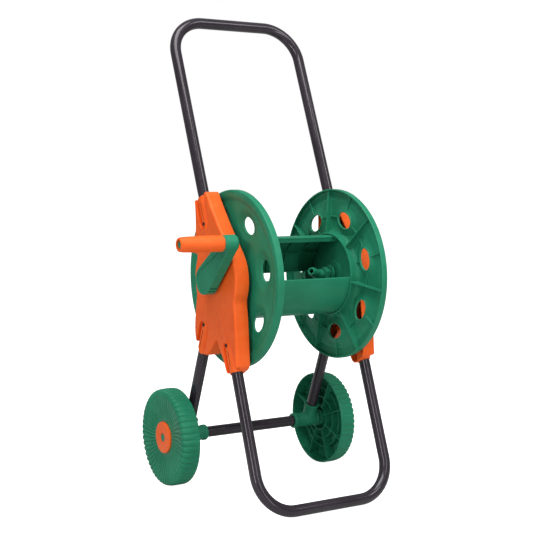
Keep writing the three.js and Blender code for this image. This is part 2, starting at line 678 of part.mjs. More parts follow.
// The elbow inside the drum, with the barbed tail that the hose is pushed onto.
function hoseElbow() {
  const centre = new THREE.Vector3(77, 0, 0);
  const way = new THREE.Vector3(-35, -25, 11);
  const tail = turned([
    [0, 0], [8.3, 0], [8.3, 26], [9.4, 27], [7.6, 33], [9.2, 34], [7.2, 42], [0, 42],
  ], 16);
  const body = join(bar(10.5, 68.5, 86.6, 16), aim(tail, centre, way));
  return cut(body, bar(PIPE_BORE, 77, 90, 12), aim(bar(4.2, 0, 50, 12), centre, way));
}

const INLET_X = 179; // the elbow's corner, from the middle of the cart
const TAIL_WAY = lean(180);

function inletElbow() {
  const body = join(
    bar(INLET_R, INLET_END, 168, 20),
    bar(20, PLATE_OUT + 0.8, PLATE_OUT + 4.6, 20),
    bar(14, 161, 190, 20),
    aim(bar(9.5, 0, 34, 16), new THREE.Vector3(INLET_X, 0, 0), TAIL_WAY),
  );
  const groove = ring(10.4, 14, 151.3, 154.7, 20);
  const across = bar(PIPE_BORE, INLET_END - 1, INLET_X, 10);
  const down = aim(bar(PIPE_BORE, 0, 40, 10), new THREE.Vector3(INLET_X, 0, 0), TAIL_WAY);
  return cut(body, groove, across, down);
}

const inletSeal = () => turned([
  [10.6, 151.8], [11.6, 151.5], [12.2, 153], [11.6, 154.5], [10.6, 154.2],
], 16);

const inletRetainer = () => turned([
  [20.6, PLATE_OUT + 0.3], [24, PLATE_OUT + 0.3], [24, PLATE_OUT + 7.6], [14.6, PLATE_OUT + 7.6],
  [14.6, PLATE_OUT + 5.2], [20.6, PLATE_OUT + 5.2],
], 20);

// The barbed hose tail that is screwed onto the elbow.
function inletTail() {
  const profile = [
    [PIPE_BORE, 34.4], [12.5, 34.4], [12.5, 46], [8, 48], [8, 58],
    [9.4, 59.5], [7.4, 66], [7.4, 70], [PIPE_BORE, 70],
  ];
  return aim(turned(profile, 16), new THREE.Vector3(INLET_X, 0, 0), TAIL_WAY);
}

// ---- assembly ----------------------------------------------------------------------------------
const [handleSocket, footSocket, rearSocket] = SOCKETS;
const bothSides = [-1, 1];
const handle = drilled(solid(bentU(handleWay, HANDLE_REACH)), handleSocket, bothSides);
const foot = drilled(solid(bentU(footWay, FOOT_REACH)), footSocket, bothSides);
add('handle_tube', 'paint', handle, REEL_AT);
add('foot_tube', 'paint', foot, REEL_AT);

const AXLE_AT = [0, AXLE_Y, AXLE_Z];
const legUp = lean(-rearLean);
const axleHole = (x) => aim(bar(SCREW_R + GAP, 0, 20, 8), new THREE.Vector3(x, 0, 0), DOWN);
const axleTube = solid(straightTube(
  new THREE.Vector3(-AXLE_TUBE_END, 0, 0),
  new THREE.Vector3(AXLE_TUBE_END, 0, 0),
));
const axleScrewX = SLEEVE_IN + SCREW_INSET;
add('axle_tube', 'paint', cut(axleTube, axleHole(axleScrewX), axleHole(-axleScrewX)), AXLE_AT);

const plateBody = sidePlate();
const teeBody = axleTee();
const wheelBody = wheel();
const capBody = turned([
  [CAP_HOLE_R, CAP_IN], [CAP_R, CAP_IN], [CAP_R, CAP_OUT - 1.6],
  [CAP_R - 1.6, CAP_OUT], [CAP_HOLE_R, CAP_OUT],
], 24);
const rearLegFoot = new THREE.Vector3(LEG_X, AXLE_Y, AXLE_Z - REEL_Z);
rearLegFoot.addScaledVector(legUp, REAR_LEG_FOOT);
const rearLegTop = legPoint(rearFrom).addScaledVector(rearWay, LEG_END);
const teeScrewSpot = new THREE.Vector3(LEG_X, 0, 0).addScaledVector(legUp, LEG_SLEEVE - 12);

for (const [name, side] of Object.entries(SIDES)) {
  add(`${name}_side_plate`, 'orange', onSide(plateBody, side), REEL_AT);
  const leg = drilled(solid(straightTube(rearLegFoot, rearLegTop)), rearSocket, [1]);
  const legHole = bar(SCREW_R + GAP, LEG_X, LEG_X + 20, 8);
  const holeAt = [0, AXLE_Y + teeScrewSpot.y, AXLE_Z - REEL_Z + teeScrewSpot.z];
  add(`${name}_rear_leg`, 'paint', onSide(leg.subtract(legHole.translate(holeAt)), side), REEL_AT);
  add(`${name}_axle_tee`, 'green', onSide(teeBody, side), AXLE_AT);
  add(`${name}_wheel`, 'green', onSide(wheelBody, side), AXLE_AT);
  add(`${name}_hub_cap`, 'orange', onSide(capBody, side), AXLE_AT);
  for (const socket of SOCKETS) {
    const spot = screwAt(socket);
    const body = screw().translate([SCREW_SEAT + GAP, spot.y, spot.z]);
    add(`${name}_${socket.name}_screw`, 'steel', onSide(body, side), REEL_AT);
  }
  const teeScrew = screw().translate([LEG_X + SLEEVE_R - 1.5 + GAP, teeScrewSpot.y, teeScrewSpot.z]);
  add(`${name}_tee_leg_screw`, 'steel', onSide(teeScrew, side), AXLE_AT);
  const axleScrewAt = new THREE.Vector3(axleScrewX, 0, 0);
  const axleScrew = aim(screw().translate([SLEEVE_R - 1 + GAP, 0, 0]), axleScrewAt, DOWN);
  add(`${name}_tee_axle_screw`, 'steel', onSide(axleScrew, side), AXLE_AT);
}

add('left_flange', 'green', leftFlange(), REEL_AT);
add('right_flange', 'green', rightFlange(), REEL_AT);
add('top_drum_shell', 'green', drumShell(TOP_SHELL_START), REEL_AT);
add('bottom_drum_shell', 'green', drumShell(TOP_SHELL_START + 180), REEL_AT);
add('crank_arm', 'green', crankArm(), REEL_AT);
add('crank_pin', 'green', crankPin(), [0, PIN_Y, REEL_Z + PIN_Z]);
add('crank_grip', 'orange', crankGrip(), [0, PIN_Y, REEL_Z + PIN_Z]);
add('water_pipe', 'green', waterPipe(), REEL_AT);
add('pipe_nut', 'green', pipeNut(), REEL_AT);
add('hose_elbow', 'green', hoseElbow(), REEL_AT);
add('inlet_elbow', 'green', inletElbow(), REEL_AT);
add('inlet_seal', 'rubber', inletSeal(), REEL_AT);
add('inlet_retainer', 'orange', inletRetainer(), REEL_AT);
add('inlet_hose_tail', 'orange', inletTail(), REEL_AT);

// The origin is the middle of the footprint, on the ground.
const MIDDLE_X = (WHEEL_FACE - GRIP_OUT) / 2;
const MIDDLE_Y = (HANDLE_REACH * handleWay.y + FOOT_REACH * footWay.y) / 2;
cart.position.set(-MIDDLE_X, -MIDDLE_Y, 0);
cart.updateMatrixWorld(true);

export default cart;
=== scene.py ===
"""Looks of the garden hose reel cart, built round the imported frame.

Every moulded piece is a solid given by a signed distance (millimetres, negative inside), which is
turned into a quad mesh; turned pieces are lathed and tubes are swept. Design coordinates: x from
the cart's middle, y and z from the reel's axis. A right-hand piece is made at +x and mirrored.
"""
import json
import math

import bpy
import numpy as np
from mathutils import Matrix, Vector


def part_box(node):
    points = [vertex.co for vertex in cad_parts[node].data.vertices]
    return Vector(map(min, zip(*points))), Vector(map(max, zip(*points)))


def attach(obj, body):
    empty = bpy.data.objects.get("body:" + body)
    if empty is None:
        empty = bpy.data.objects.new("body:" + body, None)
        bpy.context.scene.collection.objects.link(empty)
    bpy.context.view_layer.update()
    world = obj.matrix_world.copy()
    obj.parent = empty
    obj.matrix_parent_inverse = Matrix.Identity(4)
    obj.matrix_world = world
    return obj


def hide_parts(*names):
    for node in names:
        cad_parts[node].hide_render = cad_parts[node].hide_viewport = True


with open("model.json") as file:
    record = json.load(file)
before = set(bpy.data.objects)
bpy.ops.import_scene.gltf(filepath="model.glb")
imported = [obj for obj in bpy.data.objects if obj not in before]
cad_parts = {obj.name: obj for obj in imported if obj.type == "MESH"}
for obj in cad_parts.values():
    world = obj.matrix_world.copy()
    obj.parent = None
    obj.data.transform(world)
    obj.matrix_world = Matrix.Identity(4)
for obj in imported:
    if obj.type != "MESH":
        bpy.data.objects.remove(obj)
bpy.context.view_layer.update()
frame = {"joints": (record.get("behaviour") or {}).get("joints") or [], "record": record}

MM = 0.001
JOINTS = {joint["name"]: Vector(joint["pos_m"]) for joint in frame["joints"]}
BODY_OF = {
    node: body for body, nodes in frame["record"]["behaviour"]["bodies"].items() for node in nodes
}
PLATE_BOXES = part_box("left_side_plate"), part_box("right_side_plate")
MIDDLE_X = (PLATE_BOXES[0][0].x + PLATE_BOXES[1][1].x) / 2
ORIGIN = Vector((MIDDLE_X, JOINTS["reel_spin"].y, JOINTS["reel_spin"].z))


def design(point):
    """A point of the row frame, in the design's millimetres."""
    return (Vector(point) - ORIGIN) / MM


WHEEL_AXIS = design(JOINTS["right_wheel_spin"])
GRIP_AXIS = design(JOINTS["grip_spin"])
PLATE_IN, PLATE_OUT = (design(corner).x for corner in PLATE_BOXES[1])

# ---- driving dimensions, as in the frame -----------------------------------------------------------
GAP = 0.3
TUBE_R = 11.0
TUBE_BORE = 9.8
BORE_R = 11.3
LEG_X = 146.0
BEND_R = 72.0
HANDLE_LEAN = math.radians(23.9)
HANDLE_REACH = 547.6
FOOT_LEAN = math.radians(180 + 22.07)
FOOT_REACH = 447.1
REAR_TOP_Y = 7.7
REAR_LEAN = math.atan2(WHEEL_AXIS.y - REAR_TOP_Y, -WHEEL_AXIS.z)
LEG_END = 58.0

PLATE_WALL = 2.6
PLATE_EDGE = 4.2
HUB_BULGE_R = 80.0
SOCKET_R = 13.0
RECESS_HALF = 18.5
RECESS_SHIFT = 2.5
RECESS_FLOOR = 149.0
BEARING_R = 16.3
BEARING_BOSS_R = 22.0
SCREW_SEAT = 158.3 + GAP
SCREW_SEAT_R = 3.9  # of the flat that a screw's head rests on

FLANGE_R = 169.8
FLANGE_IN = 109.0
FLANGE_OUT = 122.5
WEB_IN = 116.0
WEB_OUT = 119.0
HOLE_COUNT = 7
HOLE_PITCH_R = 115.5
HOLE_R = 15.0
HOLE_HALF = 21.5  # the holes are ovals, longer round the flange
DIMPLE = 1.95  # the dimple's mouth, as a multiple of the hole
DIMPLE_DEPTH = 4.0
HOLE_LIP = 110.5
RIB_TOP = 112.0  # how far in the flange's thin ribs stand
RIB_HALF = 0.8
GUSSET_HALF = 1.25
HUB_R = 28.0
HOLE_PHASE = {"left": math.radians(12.8), "right": math.radians(6)}
COLLAR_R = 82.4
COLLAR_BORE = 79.6
COLLAR_IN = 99.0
DRUM_R = 78.4
DRUM_HALF = 113.5
DRUM_SPAN = math.radians(103)
DRUM_START = math.radians(-1)  # where the top shell starts, from the rear
CROSS_RIB_PITCH = 40.0
SPIGOT_R = 15.5

WHEEL_R = 96.7
WHEEL_IN = 167.2
WHEEL_FACE = 204.5
HUB_FACE = 197.2
WHEEL_WEB = 5.5
DISH_R = 34.0  # flat middle of the wheel's face
DISH_SLOPE_WIDTH = 55.0
FLUTES = 50
FLUTE_DEPTH = 1.9
WHEEL_SPOKES = 8
STUB_R = 12.0
CAP_R = 31.5
CAP_IN = HUB_FACE + GAP
CAP_OUT = 202.3

CRANK_IN = 163.0
CRANK_OUT = 185.0
SHAFT_END = 180.0
SQUARE_HALF = 9.0  # half the width of the left spigot's square end
CRANK_HUB_R = 27.5
PIN_BOSS_R = 15.0
PIN_BOSS_OUT = 191.5
PIN_START = 174.0
PIN_R = 6.5
PIN_END = 277.5
GRIP_IN = 192.0
GRIP_OUT = 280.0
GRIP_SNAP = 272.5
INLET_X = 179.0
WATER_BORE_R = 5.0
PIPE_R = 8.6
PIPE_FLANGE_R = 18.0
PIPE_START = 87.0
PIPE_END = 147.5


# ---- signed distances ------------------------------------------------------------------------------
def slab(value, low, high):
    return np.maximum(low - value, value - high)


def either(a, b, r=0.0):
    """Union of two solids, with a fillet of radius r where they meet."""
    if r == 0:
        return np.minimum(a, b)
    return np.maximum(r, np.minimum(a, b)) - np.hypot(np.maximum(r - a, 0), np.maximum(r - b, 0))


def both(a, b, r=0.0):
    """What two solids share, with its edge rounded to radius r."""
    if r == 0:
        return np.maximum(a, b)
    return np.minimum(-r, np.maximum(a, b)) + np.hypot(np.maximum(r + a, 0), np.maximum(r + b, 0))


def without(a, b, r=0.0):
    return both(a, -b, r)


def polygon(points, u, v):
    """Distance to a closed outline in a plane."""
    best = np.float64(1e12)
    inside = np.zeros(np.broadcast_shapes(np.shape(u), np.shape(v)), bool)
    for (au, av), (bu, bv) in zip(points, np.roll(points, -1, axis=0)):
        eu, ev = bu - au, bv - av
        du, dv = u - au, v - av
        t = np.clip((du * eu + dv * ev) / (eu * eu + ev * ev), 0, 1)
        best = np.minimum(best, (du - t * eu) ** 2 + (dv - t * ev) ** 2)
        if ev != 0:
            inside ^= ((av > v) != (bv > v)) & (du < eu * dv / ev)
    return np.where(inside, -1, 1) * np.sqrt(best)


def rod(x, y, z, start, way, r, low, high, edge=0.0):
    """A round bar along a direction, between two distances from its start."""
    dx, dy, dz = x - start[0], y - start[1], z - start[2]
    along = dx * way[0] + dy * way[1] + dz * way[2]
    across = np.sqrt(np.maximum(dx * dx + dy * dy + dz * dz - along * along, 0))
    return both(across - r, slab(along, low, high), edge)


def brick(x, y, z, low, high, edge=0.0):
    flat = both(slab(x, low[0], high[0]), slab(y, low[1], high[1]), edge)
    return both(flat, slab(z, low[2], high[2]), edge)


def fold(angle, count):
    """The angle from the nearest of count evenly spaced directions."""
    pitch = 2 * math.pi / count
    return (angle + pitch / 2) % pitch - pitch / 2


def ease_step(value, low, high):
    t = np.clip((value - low) / (high - low), 0, 1)
    return t * t * (3 - 2 * t)


# ---- meshes ----------------------------------------------------------------------------------------
def surface(field, wrap):
    """Corner points in grid units and quads of the zero surface of a sampled field."""
    if wrap:
        field = np.concatenate([field, field[:, :1]], axis=1)
    inside = field < 0
    cells_shape = [n - 1 for n in field.shape]
    corners = [(i, j, k) for i in (0, 1) for j in (0, 1) for k in (0, 1)]
    filled = np.zeros(cells_shape, np.uint8)
    for i, j, k in corners:
        filled += inside[i:i + cells_shape[0], j:j + cells_shape[1], k:k + cells_shape[2]]
    active = (filled > 0) & (filled < 8)
    cells = np.argwhere(active)
    number = np.full(cells_shape, -1, np.int64)
    number[active] = np.arange(len(cells))
    at = {c: field[tuple((cells + c).T)] for c in corners}
    total, hits = np.zeros((len(cells), 3)), np.zeros(len(cells))
    for corner in corners:
        for axis in range(3):
            if corner[axis]:
                continue
            other = tuple(c + (n == axis) for n, c in enumerate(corner))
            a, b = at[corner], at[other]
            cross = (a < 0) != (b < 0)
            share = a[cross] / (a[cross] - b[cross])
            total[cross] += corner
            total[cross, axis] += share
            hits[cross] += 1
    points = cells + total / hits[:, None]
    quads = []
    for axis in range(3):
        u, v = (axis + 1) % 3, (axis + 2) % 3
        step = np.eye(3, dtype=np.int64)
        low = inside[tuple(slice(0, -1) if n == axis else slice(None) for n in range(3))]
        high = inside[tuple(slice(1, None) if n == axis else slice(None) for n in range(3))]
        edge = np.argwhere(low != high)
        keep = np.ones(len(edge), bool)
        for n in (u, v):
            if wrap and n == 1:
                keep &= edge[:, n] < cells_shape[n]
            else:
                keep &= (edge[:, n] > 0) & (edge[:, n] < cells_shape[n])
        edge = edge[keep]
        ring = [edge, edge - step[u], edge - step[u] - step[v], edge - step[v]]
        if wrap:
            for cell in ring:
                cell[:, 1] %= cells_shape[1]
        quad = np.stack([number[tuple(cell.T)] for cell in ring], axis=1)
        leaving = low[tuple(edge.T)]
        quads.append(np.where(leaving[:, None], quad, quad[:, ::-1]))
    return points, np.concatenate(quads)


def settle(distance, points, reach):
    """Moves points onto the zero surface along its gradient."""
    small = 0.05
    for _ in range(3):
        x, y, z = points.T
        here = distance(x, y, z)
        slope = np.stack([
            distance(x + small, y, z) - distance(x - small, y, z),
            distance(x, y + small, z) - distance(x, y - small, z),
            distance(x, y, z + small) - distance(x, y, z - small),
        ], axis=1) / (2 * small)
        size = np.maximum((slope ** 2).sum(axis=1), 0.25)
        move = -slope * (here / size)[:, None]
        length = np.maximum(np.linalg.norm(move, axis=1, keepdims=True), 1e-9)
        points = points + move * np.minimum(1, reach / length)
    return points


def samples(low, high, step):
    return np.arange(low - 2 * step, high + 2 * step, step)


def moulded(distance, low, high, step):
    """Mesh of a solid given by distance(x, y, z), inside a box."""
    axes = [samples(a, b, step) for a, b in zip(low, high)]
    grid = distance(axes[0][:, None, None], axes[1][None, :, None], axes[2][None, None, :])
    points, quads = surface(grid, wrap=False)
    points = points * step + [axis[0] for axis in axes]
    return settle(distance, points, step / 2), quads


def wheeled(distance, radii, xs, turns, step):
    """Mesh of a solid given by distance(x, r, angle) about the x axis, on a grid round that axis."""
    r = samples(*radii, step)
    x = samples(*xs, step * 0.8)
    angle = 2 * math.pi * np.arange(turns) / turns
    grid = distance(x[None, None, :], r[:, None, None], angle[None, :, None])
    points, quads = surface(grid, wrap=True)
    at_r = r[0] + points[:, 0] * step
    at_angle = points[:, 1] * (2 * math.pi / turns)
    at_x = x[0] + points[:, 2] * step * 0.8
    points = np.stack([at_x, at_r * np.cos(at_angle), at_r * np.sin(at_angle)], axis=1)

    def plain(px, py, pz):
        return distance(px, np.hypot(py, pz), np.arctan2(pz, py))

    return settle(plain, points, step / 2), quads


def eased(corners, steps=5):
    """Outline points from corners [u, v, ease], each rounded from ease before it to ease after it."""
    corners = [(*corner, 0)[:3] for corner in corners]
    out = []
    for n, (u, v, ease) in enumerate(corners):
        here = np.array([u, v], float)
        if ease == 0:
            out.append(here)
            continue
        before = np.array(corners[n - 1][:2]) - here
        after = np.array(corners[(n + 1) % len(corners)][:2]) - here
        first = here + before * min(ease / np.linalg.norm(before), 0.48)
        last = here + after * min(ease / np.linalg.norm(after), 0.48)
        for t in np.linspace(0, 1, steps):
            out.append((1 - t) ** 2 * first + 2 * t * (1 - t) * here + t * t * last)
    return np.array(out)


def turned(profile, segments=96):
    """Mesh turned about the x axis from a closed profile of [radius, x, ease] corners."""
    outline = eased(profile)
    r, x = outline.T
    area = np.sum(r * np.roll(x, -1) - np.roll(r, -1) * x)
    if area < 0:
        outline = outline[::-1]
    count = len(outline)
    points = []
    for n in range(segments):
        angle = 2 * math.pi * n / segments
        points += [(x, r * math.cos(angle), r * math.sin(angle)) for r, x in outline]
    quads = []
    for n in range(segments):
        here, there = n * count, (n + 1) % segments * count
        for k in range(count):
            m = (k + 1) % count
            quads.append((here + k, there + k, there + m, here + m))
    return np.array(points), np.array(quads)[:, ::-1]


def swept(path, ways):
    """Mesh of the frame's tube along a path in millimetres, with its bore and its annular ends."""
    sides = 40
    across = Vector(ways[0]).orthogonal().normalized()
    rings = []
    for point, way in zip(path, ways):
        way = Vector(way).normalized()
        across = (across - way * across.dot(way)).normalized()
        up = way.cross(across)
        turn = [2 * math.pi * n / sides for n in range(sides)]
        rings.append([(Vector(point), across * math.cos(a) + up * math.sin(a)) for a in turn])
    edge = 0.4
    levels = [(rings[0], TUBE_BORE), (rings[0], TUBE_R - edge)]
    levels += [(ring, TUBE_R) for ring in rings]
    levels += [(rings[-1], TUBE_R - edge), (rings[-1], TUBE_BORE)]
    inner = list(reversed(rings))[1:-1]
    levels += [(ring, TUBE_BORE) for ring in inner]
    points = [centre + side * r for ring, r in levels for centre, side in ring]
    quads = []
    for level in range(len(levels)):
        here, there = level * sides, (level + 1) % len(levels) * sides
        for n in range(sides):
            m = (n + 1) % sides
            quads.append((here + n, here + m, there + m, there + n))
    return np.array([tuple(p) for p in points]), np.array(quads)


def joined(*parts):
    """Several closed shells as one mesh."""
    points, quads, start = [], [], 0
    for part_points, part_quads in parts:
        points.append(part_points)
        quads.append(np.asarray(part_quads) + start)
        start += len(part_points)
    return np.concatenate(points), np.concatenate(quads)


def moved(part, by):
    return part[0] + np.array(by, float), part[1]


def aimed(part, start, way):
    """A part made along +x, set to run from a start in a direction."""
    turn = np.array(Vector((1, 0, 0)).rotation_difference(Vector(way)).to_matrix())
    return part[0] @ turn.T + np.array(start, float), part[1]


def mirrored(part, side):
    if side > 0:
        return part
    return part[0] * [-1, 1, 1], part[1][:, ::-1]


def piece(node, part, material, side=1, sharp=40):
    """A finished object that stands for a CAD node and rides where it rides."""
    points, quads = mirrored(part, side)
    mesh = bpy.data.meshes.new(node + "_fine")
    mesh.from_pydata(points * MM + np.array(ORIGIN), [], quads)
    mesh.shade_smooth()
    mesh.set_sharp_from_angle(angle=math.radians(sharp))
    mesh.materials.append(material)
    mesh.validate()
    shown = bpy.data.objects.new(node + "_fine", mesh)
    bpy.context.scene.collection.objects.link(shown)
    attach(shown, BODY_OF[node])
    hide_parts(node)


# ---- materials -------------------------------------------------------------------------------------
def new_material(name):
    material = bpy.data.materials.new(name)
    material.use_nodes = True
    return material, material.node_tree, material.node_tree.nodes["Principled BSDF"]


def noise(tree, scale, detail=3.0, stretch=(1, 1, 1)):
    """Noise over the object's own coordinates, in metres."""
    coordinates = tree.nodes.new("ShaderNodeTexCoord")
    mapping = tree.nodes.new("ShaderNodeMapping")
    mapping.inputs["Scale"].default_value = stretch
    texture = tree.nodes.new("ShaderNodeTexNoise")
    texture.inputs["Scale"].default_value = scale
    texture.inputs["Detail"].default_value = detail
    tree.links.new(coordinates.outputs["Object"], mapping.inputs["Vector"])
    tree.links.new(mapping.outputs["Vector"], texture.inputs["Vector"])
    return texture.outputs["Fac"]


def between(tree, factor, low, high, start=0.35, end=0.65):
    """Maps a factor onto a range of values or colours."""
    ramp = tree.nodes.new("ShaderNodeValToRGB")
    ramp.color_ramp.elements[0].position = start
    ramp.color_ramp.elements[1].position = end
    colours = [value if isinstance(value, tuple) else (value,) * 3 for value in (low, high)]
    ramp.color_ramp.elements[0].color = (*colours[0], 1)
    ramp.color_ramp.elements[1].color = (*colours[1], 1)
    tree.links.new(factor, ramp.inputs["Fac"])
    return ramp.outputs["Color"]


def mixed(tree, factor, a, b):
    mix = tree.nodes.new("ShaderNodeMix")
    mix.data_type = "RGBA"
    for source, socket in ((factor, mix.inputs["Factor"]), (a, mix.inputs["A"]), (b, mix.inputs["B"])):
        if isinstance(source, (float, int)):
            socket.default_value = source
        elif isinstance(source, tuple):
            socket.default_value = (*source, 1)
        else:
            tree.links.new(source, socket)
    return mix.outputs["Result"]


def bumps(tree, shader, layers):
    """Stacks bump layers (height, strength, depth in metres) on a shader's normal."""
    normal = None
    for height, strength, depth in layers:
        bump = tree.nodes.new("ShaderNodeBump")
        bump.inputs["Strength"].default_value = strength
        bump.inputs["Distance"].default_value = depth
        tree.links.new(height, bump.inputs["Height"])
        if normal is not None:
            tree.links.new(normal, bump.inputs["Normal"])
        normal = bump.outputs["Normal"]
    tree.links.new(normal, shader.inputs["Normal"])


def edge_wear_and_highlight(tree):
    """White on convex edges: partly wear where handling polishes a moulding, partly a painted highlight
    along them.
    """
    geometry = tree.nodes.new("ShaderNodeNewGeometry")
    return between(tree, geometry.outputs["Pointiness"], 0.0, 1.0, 0.52, 0.6)


def plastic(name, colour, light, dark):
    """Injection moulded polypropylene: clouded colour, faint flow lines, fine satin grain."""
    material, tree, shader = new_material(name)
    cloud = noise(tree, 14.0, 4.0)
    flow = noise(tree, 60.0, 5.0, (0.25, 1.0, 1.0))
    speckle = noise(tree, 900.0, 2.0)
    grain = noise(tree, 1600.0, 2.0)
    base = between(tree, cloud, dark, colour, 0.3, 0.6)
    base = mixed(tree, between(tree, flow, 0.0, 0.22, 0.45, 0.75), base, light)
    base = mixed(tree, between(tree, speckle, 0.0, 0.10, 0.55, 0.7), base, dark)
    # convex edges lightened towards the light tone: partly wear, partly a painted highlight
    base = mixed(tree, mixed(tree, 0.3, (0.0, 0.0, 0.0), edge_wear_and_highlight(tree)), base, light)
    tree.links.new(base, shader.inputs["Base Color"])
    rough = between(tree, noise(tree, 35.0, 5.0), 0.33, 0.46)
    tree.links.new(rough, shader.inputs["Roughness"])
    shader.inputs["IOR"].default_value = 1.49
    shader.inputs["Specular IOR Level"].default_value = 0.17
    bumps(tree, shader, [(cloud, 0.12, 0.0012), (flow, 0.06, 0.0004), (grain, 0.10, 0.00012)])
    return material


def painted_tube():
    """Dark stove enamel on steel: glossy, with orange peel and dust speckle."""
    material, tree, shader = new_material("painted_tube_enamel")
    cloud = noise(tree, 9.0, 4.0)
    peel = noise(tree, 420.0, 2.0)
    dust = noise(tree, 1300.0, 2.0)
    base = between(tree, cloud, (0.018, 0.014, 0.020), (0.028, 0.022, 0.030))
    base = mixed(tree, between(tree, dust, 0.0, 0.25, 0.62, 0.74), base, (0.07, 0.06, 0.07))
    tree.links.new(base, shader.inputs["Base Color"])
    tree.links.new(between(tree, noise(tree, 50.0, 5.0), 0.16, 0.26), shader.inputs["Roughness"])
    shader.inputs["Specular IOR Level"].default_value = 0.2
    shader.inputs["Coat Weight"].default_value = 0.4
    shader.inputs["Coat Roughness"].default_value = 0.06
    bumps(tree, shader, [(cloud, 0.08, 0.001), (peel, 0.05, 0.00018)])
    return material


def screw_steel():
    material, tree, shader = new_material("screw_steel_dark")
    patches = noise(tree, 500.0, 4.0)
    turning = noise(tree, 2500.0, 2.0, (0.1, 1.0, 1.0))
    base = between(tree, patches, (0.030, 0.026, 0.025), (0.075, 0.065, 0.060))
    tree.links.new(base, shader.inputs["Base Color"])
    tree.links.new(between(tree, turning, 0.28, 0.5), shader.inputs["Roughness"])
    shader.inputs["Metallic"].default_value = 1.0
    bumps(tree, shader, [(turning, 0.15, 0.0001)])
    return material


def rubber():
    material, tree, shader = new_material("seal_rubber")
    grain = noise(tree, 1800.0, 3.0)
    tree.links.new(between(tree, grain, 0.012, 0.03), shader.inputs["Base Color"])
    tree.links.new(between(tree, noise(tree, 300.0), 0.6, 0.8), shader.inputs["Roughness"])
    bumps(tree, shader, [(grain, 0.2, 0.0001)])
    return material


GREEN = plastic("green_polypropylene", (0.017, 0.210, 0.112), (0.036, 0.285, 0.165), (0.012, 0.168, 0.086))
ORANGE = plastic("orange_polypropylene", (0.86, 0.122, 0.016), (0.95, 0.195, 0.045), (0.78, 0.100, 0.011))
PAINT = painted_tube()
STEEL = screw_steel()
RUBBER = rubber()


# ---- tube frame ------------------------------------------------------------------------------------
def lean(angle):
    """Direction in the y-z plane, turned from straight up towards the rear."""
    return Vector((0, math.sin(angle), math.cos(angle)))


def bent_u(way, reach):
    """Path of two legs that leave the side plates, joined by a bar across."""
    steps = 20
    path, ways = [Vector((-LEG_X, 0, 0)) + way * LEG_END], [way]
    for side in (-1, 1):
        centre = Vector((side * (LEG_X - BEND_R), 0, 0)) + way * (reach - BEND_R)
        for n in range(steps + 1):
            turn = math.pi / 2 * n / steps
            angle = math.pi - turn if side < 0 else math.pi / 2 - turn
            path.append(centre + Vector((BEND_R * math.cos(angle), 0, 0)) + way * BEND_R * math.sin(angle))
            ways.append(Vector((math.sin(angle), 0, 0)) - way * math.cos(angle))
    path.append(Vector((LEG_X, 0, 0)) + way * LEG_END)
    ways.append(-way)
    return swept(path, ways)


def straight(start, end):
    path = [start + (end - start) * t for t in np.linspace(0, 1, 9)]
    return swept(path, [end - start] * len(path))


HANDLE_WAY = lean(HANDLE_LEAN)
FOOT_WAY = lean(FOOT_LEAN)
REAR_WAY = lean(math.pi - REAR_LEAN)
REAR_FROM = Vector((0, REAR_TOP_Y, 0))
LEG_FOOT = 17.0
AXLE_TUBE_END = 130.0

piece("handle_tube", bent_u(HANDLE_WAY, HANDLE_REACH), PAINT)
piece("foot_tube", bent_u(FOOT_WAY, FOOT_REACH), PAINT)
axle_centre = Vector((0, WHEEL_AXIS.y, WHEEL_AXIS.z))
axle_half = Vector((AXLE_TUBE_END, 0, 0))
piece("axle_tube", straight(axle_centre - axle_half, axle_centre + axle_half), PAINT)
rear_leg = straight(
    Vector((LEG_X, 0, 0)) + axle_centre - REAR_WAY * LEG_FOOT,
    Vector((LEG_X, 0, 0)) + REAR_FROM + REAR_WAY * LEG_END,
)

# ---- side plates -----------------------------------------------------------------------------------
# Each socket: its leg, where its recess starts and the socket ends, how long its round end is.
SOCKETS = {
    "handle": {"from": Vector(), "way": HANDLE_WAY, "recess": 100.0, "end": 167.0, "oval": 1.0},
    "foot": {"from": Vector(), "way": FOOT_WAY, "recess": 116.0, "end": 180.0, "oval": 1.3},
    "rear_leg": {"from": REAR_FROM, "way": REAR_WAY, "recess": 86.0, "end": 158.0, "oval": 1.3},
}
SCREW_INSIDE = 12.0  # from the recess's start to the screw
SCREW_HOLE_R = 2.3
DART_R = 1.7  # the slit along the socket's ridge, and where it starts from the recess's start
DART_INSIDE = 22.0


def bulge(start, end, count):
    """Corners on the round bulge of the plate's outline, between two angles in degrees."""
    angles = np.radians(np.linspace(start, end, count))
    return [(HUB_BULGE_R * math.cos(a), HUB_BULGE_R * math.sin(a), 6) for a in angles]


PLATE_OUTLINE = eased([
    (42, 165, 3), (13.5, 130, 4), (-19, 93, 30), *bulge(136, 206, 7), (-75.5, -50, 20), (-81, -84, 30),
    (-88, -157, 9), (-60, -174.5, 5), (-49.5, -171.5, 5), (-34.5, -148.5, 3), (-20.5, -132, 3),
    (-8, -112.5, 4), (27, -149.5, 4), (60, -152, 5), (69, -134, 3), (77.5, -121, 8), (80.5, -96, 20),
    (73, -40, 20), *bulge(334, 386, 6), (72, 42, 5), (88, 42, 7), (80.5, 76, 20), (82, 118, 20),
    (86.5, 145, 3),
])


def u_shape(y, z, socket, half, start):
    """Distance to the U round a leg: a round or oval inner end, then parallel sides, a little to
    the front of the leg."""
    way = socket["way"]
    dy, dz = y - socket["from"].y, z - socket["from"].z
    along = dy * way.y + dz * way.z
    across = (dy * way.z - dz * way.y) * math.copysign(1, way.z) + RECESS_SHIFT
    behind = np.minimum(along - start - half * socket["oval"], 0) / socket["oval"]
    return np.hypot(behind, across) - half


